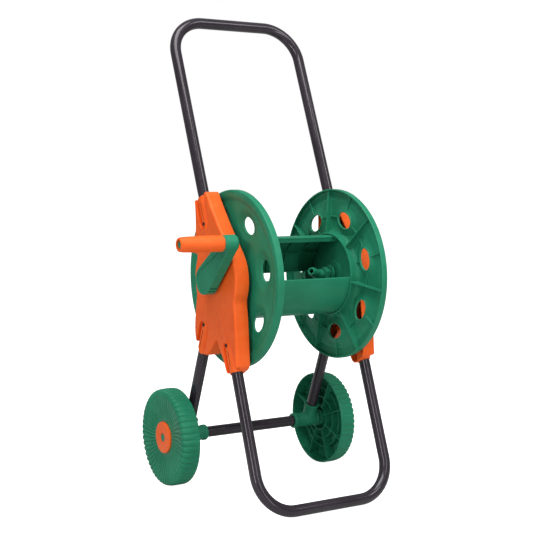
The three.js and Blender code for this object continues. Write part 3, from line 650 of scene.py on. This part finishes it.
def side_plate(x, y, z):
    """A shell open to the inside, with three tube sockets in recesses and the reel's bearing."""
    outline = polygon(PLATE_OUTLINE, y, z)
    body = both(both(outline, x - PLATE_OUT, PLATE_EDGE), PLATE_IN - x, 0.7)
    cavity = both(outline + PLATE_WALL, x - PLATE_OUT + PLATE_WALL, 3.5)
    plate = without(body, cavity, 0.7)
    for socket in SOCKETS.values():
        start = Vector((LEG_X, 0, 0)) + socket["from"]
        outer = u_shape(y, z, socket, RECESS_HALF + PLATE_WALL, socket["recess"] - PLATE_WALL)
        well = both(both(outer, RECESS_FLOOR - PLATE_WALL - x, 2), body)
        plate = either(plate, well, 1)
        inner = u_shape(y, z, socket, RECESS_HALF, socket["recess"])
        plate = without(plate, both(inner, RECESS_FLOOR - x, 2), 1.8)
        wall = rod(x, y, z, start, socket["way"], SOCKET_R, LEG_END - 6, socket["end"] + 40)
        plate = either(plate, both(wall, body, 1), 2)
    boss = both(np.hypot(y, z) - BEARING_BOSS_R, slab(x, PLATE_IN - 2, PLATE_OUT))
    plate = either(plate, boss, 1)
    for rib_y, rib_z in ((-50, -105), (50, -85)):  # the middles of two cross ribs
        rib_low = (PLATE_IN + 3, rib_y - 30, rib_z - 1)
        rib = brick(x, y, z, rib_low, (PLATE_OUT - 1, rib_y + 30, rib_z + 1))
        plate = either(plate, both(rib, outline + 1), 1)
    for socket in SOCKETS.values():
        start = Vector((LEG_X, 0, 0)) + socket["from"]
        way = socket["way"]
        bore = rod(x, y, z, start, way, BORE_R, LEG_END - GAP, socket["end"] + 60)
        spot = socket["from"] + way * (socket["recess"] + SCREW_INSIDE)
        from_screw = np.hypot(y - spot.y, z - spot.z)
        seat = both(from_screw - SCREW_SEAT_R, SCREW_SEAT - GAP - x)
        hole = both(from_screw - SCREW_HOLE_R, LEG_X - x)
        dart_from = start + way * (socket["recess"] + DART_INSIDE) + Vector((SOCKET_R, 0, 0))
        dart_to = socket["end"] - socket["recess"] - DART_INSIDE - 12
        dart = both(rod(x, y, z, dart_from, way, DART_R, 0, dart_to), -bore)
        plate = without(without(without(without(plate, bore, 0.5), seat, 0.5), hole), dart, 0.4)
    return without(plate, np.hypot(y, z) - BEARING_R, 0.7)


plate = moulded(side_plate, (PLATE_IN - 2, -90, -177), (PLATE_OUT, 91, 168), 1.0)

# ---- screws ----------------------------------------------------------------------------------------
SCREW_LENGTH = 12.0
SCREW_HEAD_R = 3.6
SCREW_HEAD = 2.4
THREAD_PITCH = 1.4


def screw(x, y, z):
    """A pan head screw along +x whose head rests on x = 0, with a cross recess and a thread."""
    r = np.hypot(y, z)
    dome = np.sqrt((x + 5.0 - SCREW_HEAD) ** 2 + r * r) - 5.0
    head = both(dome, both(r - SCREW_HEAD_R, -x, 0.3), 0.4)
    turn = np.arctan2(z, y) / (2 * math.pi)
    thread = 0.35 * np.abs((x / THREAD_PITCH - turn) % 1 - 0.5)
    shank = both(r - 1.6 - thread, slab(x, -SCREW_LENGTH, 0.5), 0.3)
    off_y, off_z = np.abs(y), np.abs(z)
    cross = np.minimum(both(off_y - 0.45, off_z - 2.0), both(off_z - 0.45, off_y - 2.0))
    return without(either(head, shank, 0.2), both(cross, SCREW_HEAD / 2 - x), 0.1)


screw_part = moulded(
    screw, (-SCREW_LENGTH, -SCREW_HEAD_R, -SCREW_HEAD_R), (SCREW_HEAD, SCREW_HEAD_R, SCREW_HEAD_R), 0.25
)

# ---- wheel carriers --------------------------------------------------------------------------------
SLEEVE_R = 14.5
SLEEVE_IN = 105.5
LEG_SLEEVE = 38.0
TEE_SHOULDER = 166.0
STUB_END_R = 8.0  # where the hub cap sits on the stub axle
TEE_SCREW = LEG_SLEEVE - 12
AXLE_SCREW_X = SLEEVE_IN + 14


def axle_tee(x, y, z):
    """The elbow that joins axle tube, rear leg and wheel, about the wheel's axis."""
    axis, core, up = Vector((1, 0, 0)), Vector((LEG_X, 0, 0)), -REAR_WAY
    r = np.hypot(y, z)
    tee = both(r - SLEEVE_R, slab(x, SLEEVE_IN, TEE_SHOULDER - 5), 0.8)
    tee = either(tee, both(r - SLEEVE_R - 1.2, slab(x, SLEEVE_IN, SLEEVE_IN + 9), 1.5), 2)
    tee = either(tee, both(r - SLEEVE_R - 2.5, slab(x, TEE_SHOULDER - 5, TEE_SHOULDER), 1), 1)
    tee = either(tee, rod(x, y, z, core, up, SLEEVE_R - 0.5, 0, LEG_SLEEVE), 5)
    tee = either(tee, rod(x, y, z, core, up, SLEEVE_R + 1, LEG_SLEEVE - 4, LEG_SLEEVE, 1), 0.8)
    ribs = both(both(np.abs((x - 148) % 3.4 - 1.7) - 0.6, slab(x, 147.5, 161.8)), r - SLEEVE_R - 1.5)
    tee = either(tee, both(ribs, np.abs(z) - 12), 0.4)
    tee = either(tee, rod(x, y, z, axis * 0, axis, STUB_R, LEG_X, CAP_IN - GAP, 0.8), 1)
    tee = either(tee, rod(x, y, z, axis * 0, axis, STUB_END_R, LEG_X, CAP_OUT - 0.6, 1.2))
    leg_bore = rod(x, y, z, core, up, BORE_R, LEG_FOOT - GAP, LEG_SLEEVE + 5)
    axle_bore = both(r - BORE_R, slab(x, SLEEVE_IN - 5, AXLE_TUBE_END + GAP))
    spot = core + up * TEE_SCREW
    leg_screw = both(np.hypot(y - spot.y, z - spot.z) - SCREW_SEAT_R, LEG_X + SLEEVE_R - 1.5 - x)
    axle_screw = both(np.hypot(x - AXLE_SCREW_X, y) - SCREW_SEAT_R, z + SLEEVE_R - 1)
    for hole in (leg_bore, axle_bore, leg_screw, axle_screw):
        tee = without(tee, hole, 0.5)
    return tee


tee = moulded(axle_tee, (SLEEVE_IN, -28, -18), (CAP_OUT, 18, 48), 0.9)

# ---- wheels ----------------------------------------------------------------------------------------
def web_inside(r):
    """Where the inner side of the dished web stands."""
    return HUB_FACE - WHEEL_WEB + (WHEEL_FACE - HUB_FACE) * max(0, r - DISH_R) / DISH_SLOPE_WIDTH


def web_rings():
    """Corners of the thin rings that stand on the web's inner side."""
    corners = []
    for r, depth in ((25.2, 19), (44, 16), (62, 15)):
        corners += [
            (r, web_inside(r), 0.8), (r, web_inside(r) - depth, 0.7),
            (r + 2, web_inside(r) - depth, 0.7), (r + 2, web_inside(r), 0.8),
        ]
    return corners


WHEEL_PROFILE = eased([
    (STUB_R + 0.5, WHEEL_IN + 1.3, 1), (16, WHEEL_IN + 1.3, 1), (16, web_inside(16), 1), *web_rings(),
    (87, web_inside(87), 4), (91.3, web_inside(87) - 5, 5), (93, WHEEL_IN, 0.9), (95.6, WHEEL_IN, 1),
    (WHEEL_R, WHEEL_IN + 3, 2), (WHEEL_R, WHEEL_FACE - 11, 6), (94.8, WHEEL_FACE - 2.5, 5),
    (87, WHEEL_FACE + 0.3, 6), (36, HUB_FACE + 0.2, 12), (STUB_R + 0.5, HUB_FACE, 0.8),
])


def wheel(x, r, angle):
    """An open-backed wheel with curved flutes that run over its shoulder and across the tread."""
    body = polygon(WHEEL_PROFILE, r, x)
    swirl = angle - 0.10 * ((r - 33) / 60) ** 2
    groove = (0.5 + 0.5 * np.cos(FLUTES * swirl)) ** 3
    on_face = ease_step(r, 33, 50) * ease_step(x, 188, 194)
    on_tread = ease_step(r, 93, 96) * (0.4 + 0.6 * ease_step(x, 172, 192)) * ease_step(x, 167, 171)
    body = body + FLUTE_DEPTH * groove * np.maximum(on_face, on_tread)
    side = np.abs(r * np.sin(fold(angle + math.pi / WHEEL_SPOKES, WHEEL_SPOKES))) - 1.1
    rib = both(both(side, slab(r, 26, 92)), slab(x, WHEEL_IN + 6.5, HUB_FACE - 3))
    return either(body, rib, 0.8)


wheel_part = wheeled(wheel, (STUB_R, WHEEL_R), (WHEEL_IN, WHEEL_FACE), FLUTES * 14, 1.0)
cap_part = turned([
    (8.5, CAP_IN, 0.4), (CAP_R, CAP_IN, 0.5), (CAP_R, CAP_OUT - 0.8, 1.0), (CAP_R - 2.5, CAP_OUT, 1.2),
    (13, CAP_OUT, 1), (11.5, CAP_OUT, 0.6), (8.5, CAP_OUT - 0.4, 0.8),
])

# ---- reel flanges ----------------------------------------------------------------------------------
FLANGE_PROFILE = eased([
    (HUB_R - 0.5, WEB_IN, 0.5), (COLLAR_BORE, WEB_IN, 0.5), (COLLAR_BORE, COLLAR_IN, 0.6),
    (COLLAR_R, COLLAR_IN, 0.6), (COLLAR_R + 0.4, 107, 3), (COLLAR_R + 3, 114, 3),
    (COLLAR_R + 10, WEB_IN, 4), (149, WEB_IN, 2),
    (156, FLANGE_OUT - 3, 4), (165, FLANGE_OUT - 3, 2.5), (167, 117, 2.5), (167, FLANGE_IN, 0.6),
    (FLANGE_R, FLANGE_IN, 0.8), (FLANGE_R, 118, 1), (FLANGE_R - 0.3, FLANGE_OUT - 0.7, 2.6),
    (163, FLANGE_OUT, 2.5), (156, FLANGE_OUT - 0.4, 3), (151, WEB_OUT + 0.4, 3.5), (147, WEB_OUT, 2),
    (HUB_R - 0.5, WEB_OUT, 0.5),
])
GUSSET = np.array([
    (COLLAR_R - 1, COLLAR_IN + 1), (FLANGE_R - 1.5, FLANGE_IN + 1.5), (FLANGE_R - 1.5, WEB_OUT),
    (156, WEB_IN + 2), (COLLAR_R - 1, WEB_IN + 1),
])


def flange_for(phase):
    """A flange whose first hole stands at an angle from the rear."""
    def flange(x, r, angle):
        to_hole = fold(angle - phase, HOLE_COUNT)
        u, v = r * np.cos(to_hole) - HOLE_PITCH_R, r * np.sin(to_hole)
        size = np.hypot(u / HOLE_R, v / HOLE_HALF)  # 1 on the oval hole's edge
        slope = np.hypot(u / HOLE_R ** 2, v / HOLE_HALF ** 2) + 1e-4
        from_hole = np.where(size > 0.3, size * (size - 1) / slope, -HOLE_R / 2)
        dip = DIMPLE_DEPTH * (1 - ease_step(size, 1, DIMPLE))
        dished = 0.85 * slab(x + dip, WEB_IN, WEB_OUT)
        body = np.where(size < DIMPLE + 0.02, dished, polygon(FLANGE_PROFILE, r, x))
        ring = both(np.abs(r - HOLE_PITCH_R) - RIB_HALF, RIB_TOP - x)
        spoke = both(both(np.abs(v) - RIB_HALF, RIB_TOP - x), slab(r, COLLAR_R, FLANGE_R - 2))
        behind = x + dip - WEB_IN - 1
        body = either(body, both(both(either(ring, spoke), behind), 1 - from_hole), 0.8)
        lip = both(both(from_hole - 2.8, HOLE_LIP - x, 0.8), behind)
        body = either(body, lip, 1.5)
        from_gusset = np.abs(r * np.sin(fold(angle - phase - math.pi / HOLE_COUNT, HOLE_COUNT)))
        body = either(body, both(from_gusset - GUSSET_HALF, polygon(GUSSET, r, x), 0.5), 1.5)
        return without(body, from_hole, 0.8)

    return wheeled(flange, (HUB_R, FLANGE_R), (COLLAR_IN, FLANGE_OUT), HOLE_COUNT * 110, 1.1)


def hub(bore, spigot_end):
    """The flange's hub and the spigot that turns in the side plate's bearing."""
    return turned([
        (bore, WEB_IN - 3.5, 0.5), (HUB_R, WEB_IN - 3.5, 1), (HUB_R, PLATE_IN - 5.5, 1),
        (SPIGOT_R, PLATE_IN - 5.5, 1),
        (SPIGOT_R, spigot_end, 1), (bore, spigot_end, 0.5),
    ])


SQUARE_LOW = (150, -SQUARE_HALF, -SQUARE_HALF)
SQUARE_HIGH = (SHAFT_END, SQUARE_HALF, SQUARE_HALF)


def square_end(x, y, z):
    return brick(x, y, z, SQUARE_LOW, SQUARE_HIGH, 1)


left_flange = joined(
    flange_for(HOLE_PHASE["left"]),
    hub(0.4, CRANK_IN - 1),
    moulded(square_end, SQUARE_LOW, SQUARE_HIGH, 1.0),
)
right_flange = joined(flange_for(HOLE_PHASE["right"]), hub(PIPE_R + GAP, PLATE_OUT - 2))


# ---- drum ------------------------------------------------------------------------------------------
def drum_shell(x, y, z):
    """One shell of the drum, centred on +y: turned-in edges, and ribs along and across its inside."""
    r, angle = np.hypot(y, z), np.arctan2(z, y)
    half = DRUM_SPAN / 2
    spread = (np.abs(angle) - half) * r
    wall = both(slab(r, DRUM_R - 3, DRUM_R), spread, 0.9)
    lip = both(slab(r, DRUM_R - 11, DRUM_R - 1), slab(spread, -2.6, 0), 0.9)
    shell = either(wall, lip, 1.5)
    off_rib = np.abs((np.abs(angle) - half / 3) * r)
    long_rib = both(slab(r, DRUM_R - 10, DRUM_R - 1), off_rib - 1.1, 0.5)
    shell = either(shell, long_rib, 1)
    off_rib = np.abs((x + CROSS_RIB_PITCH / 2) % CROSS_RIB_PITCH - CROSS_RIB_PITCH / 2)
    cross_rib = both(off_rib - 1.0, slab(r, DRUM_R - 7, DRUM_R - 1), 0.4)
    shell = either(shell, both(cross_rib, spread + 1), 1)
    return both(shell, np.abs(x) - DRUM_HALF, 0.6)


def turned_about_x(part, angle):
    c, s = math.cos(angle), math.sin(angle)
    return part[0] @ np.array([[1, 0, 0], [0, c, -s], [0, s, c]]).T, part[1]


shell_part = moulded(drum_shell, (-DRUM_HALF, 40, -64), (DRUM_HALF, DRUM_R, 64), 1.3)


# ---- crank -----------------------------------------------------------------------------------------
def teardrop(y, z, big, small, share):
    """Distance to the outline round two circles, at the reel's axis and part of the way to the pin."""
    to_pin = math.hypot(GRIP_AXIS.y, GRIP_AXIS.z)
    way_y, way_z = GRIP_AXIS.y / to_pin, GRIP_AXIS.z / to_pin
    length = to_pin * share
    along = y * way_y + z * way_z
    across = np.abs(y * way_z - z * way_y)
    b = (big - small) / length
    a = math.sqrt(1 - b * b)
    middle = across * a + along * b - big
    k = along * a - across * b
    near = np.hypot(across, along) - big
    far = np.hypot(across, along - length) - small
    return np.where(k < 0, near, np.where(k > a * length, far, middle))


SLOT_TURN = math.radians(-52)  # from straight down to the middle of the two slots in the hub
SLOT_APART = 3.6  # half their spacing


def crank_arm(x, y, z):
    outline = teardrop(y, z, CRANK_HUB_R, PIN_BOSS_R, 1)
    arm = both(both(outline, x - CRANK_OUT, 2.2), CRANK_IN - x, 4)
    from_pin = np.hypot(y - GRIP_AXIS.y, z - GRIP_AXIS.z)
    boss = both(both(from_pin - PIN_BOSS_R, x - PIN_BOSS_OUT, 1.2), CRANK_IN - x, 5)
    arm = either(arm, boss, 2)
    leaf = both(teardrop(y, z, CRANK_HUB_R - 6, 5, 0.68), CRANK_OUT - 1.6 - x, 0.6)
    arm = without(arm, leaf, 0.7)
    for row in (-SLOT_APART, SLOT_APART):
        across = y * math.cos(SLOT_TURN) + z * math.sin(SLOT_TURN) - row
        down = z * math.cos(SLOT_TURN) - y * math.sin(SLOT_TURN)
        slot = brick(x, across, down, (CRANK_IN + 3, -1.4, -40), (CRANK_OUT - 4, 1.4, -CRANK_HUB_R + 6))
        arm = without(arm, slot, 0.4)
    square = SQUARE_HALF + GAP
    socket = both(both(np.abs(y) - square, np.abs(z) - square), x - SHAFT_END - GAP)
    pin_hole = both(from_pin - PIN_R - GAP, PIN_START - GAP - x)
    return without(without(arm, socket, 0.4), pin_hole, 0.4)


crank_part = moulded(crank_arm, (CRANK_IN, -103, -30), (PIN_BOSS_OUT, 30, 94), 0.8)
pin_part = turned([
    (0.3, PIN_START, 0.2), (PIN_R, PIN_START, 0.5), (PIN_R, GRIP_SNAP + 0.7, 0.2),
    (7.6, GRIP_SNAP + 1.2, 0.3), (7.6, GRIP_SNAP + 2.5, 0.3),
    (PIN_R, PIN_END, 0.8), (0.3, PIN_END, 0.2),
], 64)
grip_part = turned([
    (PIN_R + 0.5, GRIP_IN, 0.4), (14.9, GRIP_IN, 1.0), (15, GRIP_IN + 3, 1), (15, 234, 12), (14.1, 269, 6),
    (13.0, GRIP_OUT - 1.2, 3), (9.6, GRIP_OUT, 1), (8.5, GRIP_OUT - 0.4, 0.5), (8.5, GRIP_SNAP, 0.4),
    (PIN_R + 0.5, GRIP_SNAP, 0.3),
])

# ---- water fittings --------------------------------------------------------------------------------
TAIL_WAY = Vector((-35, -25, 11)).normalized()
TAIL_FROM = Vector((77, 0, 0))
TAIL_R = 8.0
TAIL_BORE_R = 4.4
BARBS = ((26, 33, 9.2), (33, 42, 8.9))  # start, end and radius, along the tail
NUT_START = 88.5
NUT_END = 99.0
NUT_HALF = 12.1  # half the width across its flats
ELBOW_R = 10.5
ELBOW_START = 68.5
ELBOW_END = 86.6

INLET_R = 11.9  # inside the plate's bearing
INLET_BODY_R = 14.0
INLET_COLLAR_R = 20.0
INLET_START = 149.5
INLET_END = 190.0
INLET_LEG_R = 9.5
INLET_LEG = 34.0
DOWN = (0, 0, -1)

pipe_part = turned([
    (WATER_BORE_R, PIPE_START, 0.4), (PIPE_R, PIPE_START, 0.6), (PIPE_R, 103, 0.6),
    (PIPE_FLANGE_R, 103, 0.8), (PIPE_FLANGE_R, 107, 0.8), (PIPE_R, 107, 0.6), (PIPE_R, PIPE_END, 0.5),
    (WATER_BORE_R, PIPE_END, 0.4),
], 64)


def pipe_nut(x, y, z):
    r = np.hypot(y, z)
    hexagon = r * np.cos(fold(np.arctan2(z, y), 6)) - NUT_HALF
    rounded_ends = np.hypot(x - (NUT_START + NUT_END) / 2, r) - 14.2
    nut = both(both(hexagon, slab(x, NUT_START, NUT_END), 0.8), rounded_ends, 0.6)
    return without(nut, r - PIPE_R - GAP, 0.4)


def hose_elbow(x, y, z):
    """The elbow on the pipe's inner end, with the barbed tail that takes the hose."""
    body = both(np.hypot(y, z) - ELBOW_R, slab(x, ELBOW_START, ELBOW_END), 1.2)
    tail = rod(x, y, z, TAIL_FROM, TAIL_WAY, TAIL_R, 0, 27, 0.6)
    along = (x - TAIL_FROM.x) * TAIL_WAY.x + y * TAIL_WAY.y + z * TAIL_WAY.z
    for start, end, wide in BARBS:
        taper = 0.24 * np.clip(along - start, 0, 9)
        barb = rod(x, y, z, TAIL_FROM, TAIL_WAY, wide, start, end, 0.3) + taper
        tail = either(tail, barb, 0.3)
    hollow = rod(x, y, z, TAIL_FROM, TAIL_WAY, TAIL_BORE_R, 0, 50)
    through = both(np.hypot(y, z) - WATER_BORE_R, slab(x, TAIL_FROM.x, ELBOW_END + 3.4))
    return without(without(either(body, tail, 2), hollow, 0.4), through, 0.4)


def inlet_elbow(x, y, z):
    """The swivelling inlet: its neck in the bearing, a collar under the retainer and a leg down."""
    r = np.hypot(y, z)
    body = both(r - INLET_R, slab(x, INLET_START, 168), 0.5)
    body = either(body, both(r - INLET_COLLAR_R, slab(x, PLATE_OUT + 0.8, PLATE_OUT + 4.6), 0.5))
    body = either(body, both(r - INLET_BODY_R, slab(x, PLATE_OUT + 2.5, INLET_END), 3), 1)
    leg_start = (INLET_X, 0, 0)
    body = either(body, rod(x, y, z, leg_start, DOWN, INLET_LEG_R, 0, INLET_LEG, 0.6), 3)
    groove = both(slab(r, 10.4, 14), slab(x, 151.3, 154.7))
    across = both(r - WATER_BORE_R, slab(x, INLET_START - 1.5, INLET_X))
    down = rod(x, y, z, leg_start, DOWN, WATER_BORE_R, 0, INLET_LEG + 6)
    return without(without(without(body, groove, 0.3), across, 0.4), down, 0.4)


seal_part = turned([
    (10.6, 151.7, 0.4), (11.9, 151.4, 0.7), (12.2, 153, 0.7), (11.9, 154.6, 0.7), (10.6, 154.3, 0.4),
], 64)
retainer_part = turned([
    (20.6, PLATE_OUT + 0.3, 0.3), (24, PLATE_OUT + 0.3, 0.5), (24, PLATE_OUT + 7.6, 1.2),
    (14.6, PLATE_OUT + 7.6, 0.8), (14.6, PLATE_OUT + 5.2, 0.4), (20.6, PLATE_OUT + 5.2, 0.4),
])
hose_tail = turned([
    (WATER_BORE_R, 34.4, 0.4), (12.5, 34.4, 0.6), (12.5, 36, 0.4), (12.1, 36.6, 0.3), (12.1, 43.5, 0.3),
    (12.5, 44, 0.4), (12.5, 46, 1), (8, 48, 1), (8, 58, 0.4), (9.4, 59.2, 0.5), (7.6, 64, 0.5),
    (9.0, 65, 0.5), (7.2, 70, 0.5), (WATER_BORE_R, 70, 0.4),
], 64)

# ---- pieces ----------------------------------------------------------------------------------------
AXLE = (0, WHEEL_AXIS.y, WHEEL_AXIS.z)
GRIP = (0, GRIP_AXIS.y, GRIP_AXIS.z)
for name, side in (("left", -1), ("right", 1)):
    piece(f"{name}_side_plate", plate, ORANGE, side)
    piece(f"{name}_rear_leg", rear_leg, PAINT, side)
    piece(f"{name}_axle_tee", moved(tee, AXLE), GREEN, side)
    piece(f"{name}_wheel", moved(wheel_part, AXLE), GREEN, side)
    piece(f"{name}_hub_cap", moved(cap_part, AXLE), ORANGE, side)
    for socket_name, socket in SOCKETS.items():
        spot = socket["from"] + socket["way"] * (socket["recess"] + SCREW_INSIDE)
        piece(f"{name}_{socket_name}_screw", moved(screw_part, (SCREW_SEAT, spot.y, spot.z)), STEEL, side)
    spot = Vector((LEG_X + SLEEVE_R - 1.5 + GAP, *AXLE[1:])) - REAR_WAY * TEE_SCREW
    piece(f"{name}_tee_leg_screw", moved(screw_part, spot), STEEL, side)
    spot = Vector((AXLE_SCREW_X, AXLE[1], AXLE[2] - SLEEVE_R + 1 - GAP))
    piece(f"{name}_tee_axle_screw", aimed(screw_part, spot, DOWN), STEEL, side)

piece("left_flange", left_flange, GREEN, -1)
piece("right_flange", right_flange, GREEN)
shell_middle = DRUM_START + DRUM_SPAN / 2
piece("top_drum_shell", turned_about_x(shell_part, shell_middle), GREEN)
piece("bottom_drum_shell", turned_about_x(shell_part, shell_middle + math.pi), GREEN)
piece("crank_arm", crank_part, GREEN, -1)
piece("crank_pin", moved(pin_part, GRIP), GREEN, -1)
piece("crank_grip", moved(grip_part, GRIP), ORANGE, -1)
piece("water_pipe", pipe_part, GREEN)
piece("pipe_nut", moulded(pipe_nut, (NUT_START, -14, -14), (NUT_END, 14, 14), 0.6), GREEN)
piece("hose_elbow", moulded(hose_elbow, (30, -36, -12), (ELBOW_END, 12, 24), 0.7), GREEN)
inlet_low = (INLET_START, -INLET_COLLAR_R, -INLET_LEG)
inlet_high = (INLET_END, INLET_COLLAR_R, INLET_COLLAR_R)
piece("inlet_elbow", moulded(inlet_elbow, inlet_low, inlet_high, 0.8), GREEN)
piece("inlet_seal", seal_part, RUBBER)
piece("inlet_retainer", retainer_part, ORANGE)
piece("inlet_hose_tail", aimed(hose_tail, (INLET_X, 0, 0), DOWN), ORANGE)


# ---- stage, light and camera -----------------------------------------------------------------------
def floor():
    """A pale floor, which the camera sees brighter than it lights the object."""
    mesh = bpy.data.meshes.new("floor")
    half = 12.0  # metres
    corners = [(-half, -half, 0), (half, -half, 0), (half, half, 0), (-half, half, 0)]
    mesh.from_pydata(corners, [], [(0, 1, 2, 3)])
    material, tree, shader = new_material("floor_pale")
    grain = noise(tree, 30.0, 3.0)
    tree.links.new(between(tree, grain, 0.62, 0.64), shader.inputs["Base Color"])
    shader.inputs["Roughness"].default_value = 0.8
    shader.inputs["Emission Color"].default_value = (1, 1, 1, 1)
    seen = tree.nodes.new("ShaderNodeLightPath").outputs["Is Camera Ray"]
    tree.links.new(seen, shader.inputs["Emission Strength"])
    mesh.materials.append(material)
    plane = bpy.data.objects.new("floor", mesh)
    plane.location.z = -0.0005
    bpy.context.scene.collection.objects.link(plane)


def area_light(name, place, target, size, power):
    light = bpy.data.lights.new(name, "AREA")
    light.shape = "RECTANGLE"
    light.size, light.size_y = size
    light.energy = power
    lamp = bpy.data.objects.new(name, light)
    lamp.location = place
    lamp.rotation_euler = (Vector(target) - Vector(place)).to_track_quat("-Z", "Y").to_euler()
    bpy.context.scene.collection.objects.link(lamp)


def camera():
    data = bpy.data.cameras.new("camera")
    data.sensor_width = 36.0
    data.lens = 77.27
    yaw, pitch, roll = 0.5500, 0.1025, 0.0166  # radians
    forward = Vector((math.sin(yaw) * math.cos(pitch), math.cos(yaw) * math.cos(pitch), -math.sin(pitch)))
    right = forward.cross(Vector((0, 0, 1))).normalized()
    up = right.cross(forward)
    c, s = math.cos(roll), math.sin(roll)
    axes = Matrix((right * c + up * s, up * c - right * s, -forward)).transposed()
    shown = bpy.data.objects.new("camera", data)
    place = ORIGIN + Vector((-1198.3, -1883.0, 247.7)) * MM
    shown.matrix_world = Matrix.Translation(place) @ axes.to_4x4()
    bpy.context.scene.collection.objects.link(shown)
    bpy.context.scene.camera = shown


floor()
CENTRE = (0, 0, 0.45)
area_light("key", (1.5, -2.3, 2.7), CENTRE, (0.9, 0.9), 18)
area_light("top", (-0.5, -0.7, 3.0), CENTRE, (2.0, 2.0), 88)
area_light("left_strip", (-2.6, -1.9, 1.3), CENTRE, (0.35, 2.2), 30)
area_light("right_strip", (0.6, -3.3, 1.3), CENTRE, (0.35, 2.2), 22)


def studio_world(seen, lit):
    """A white surround that the camera sees brighter than it lights the object."""
    world = bpy.data.worlds.new("studio")
    world.use_nodes = True
    nodes, links = world.node_tree.nodes, world.node_tree.links
    mix = nodes.new("ShaderNodeMixShader")
    links.new(nodes.new("ShaderNodeLightPath").outputs["Is Camera Ray"], mix.inputs["Fac"])
    for slot, strength in ((1, lit), (2, seen)):
        background = nodes.new("ShaderNodeBackground")
        background.inputs["Color"].default_value = (1, 1, 1, 1)
        background.inputs["Strength"].default_value = strength
        links.new(background.outputs["Background"], mix.inputs[slot])
    links.new(mix.outputs["Shader"], nodes["World Output"].inputs["Surface"])
    return world


bpy.context.scene.world = studio_world(1.0, 0.30)
bpy.context.scene.view_settings.view_transform = "Standard"
camera()
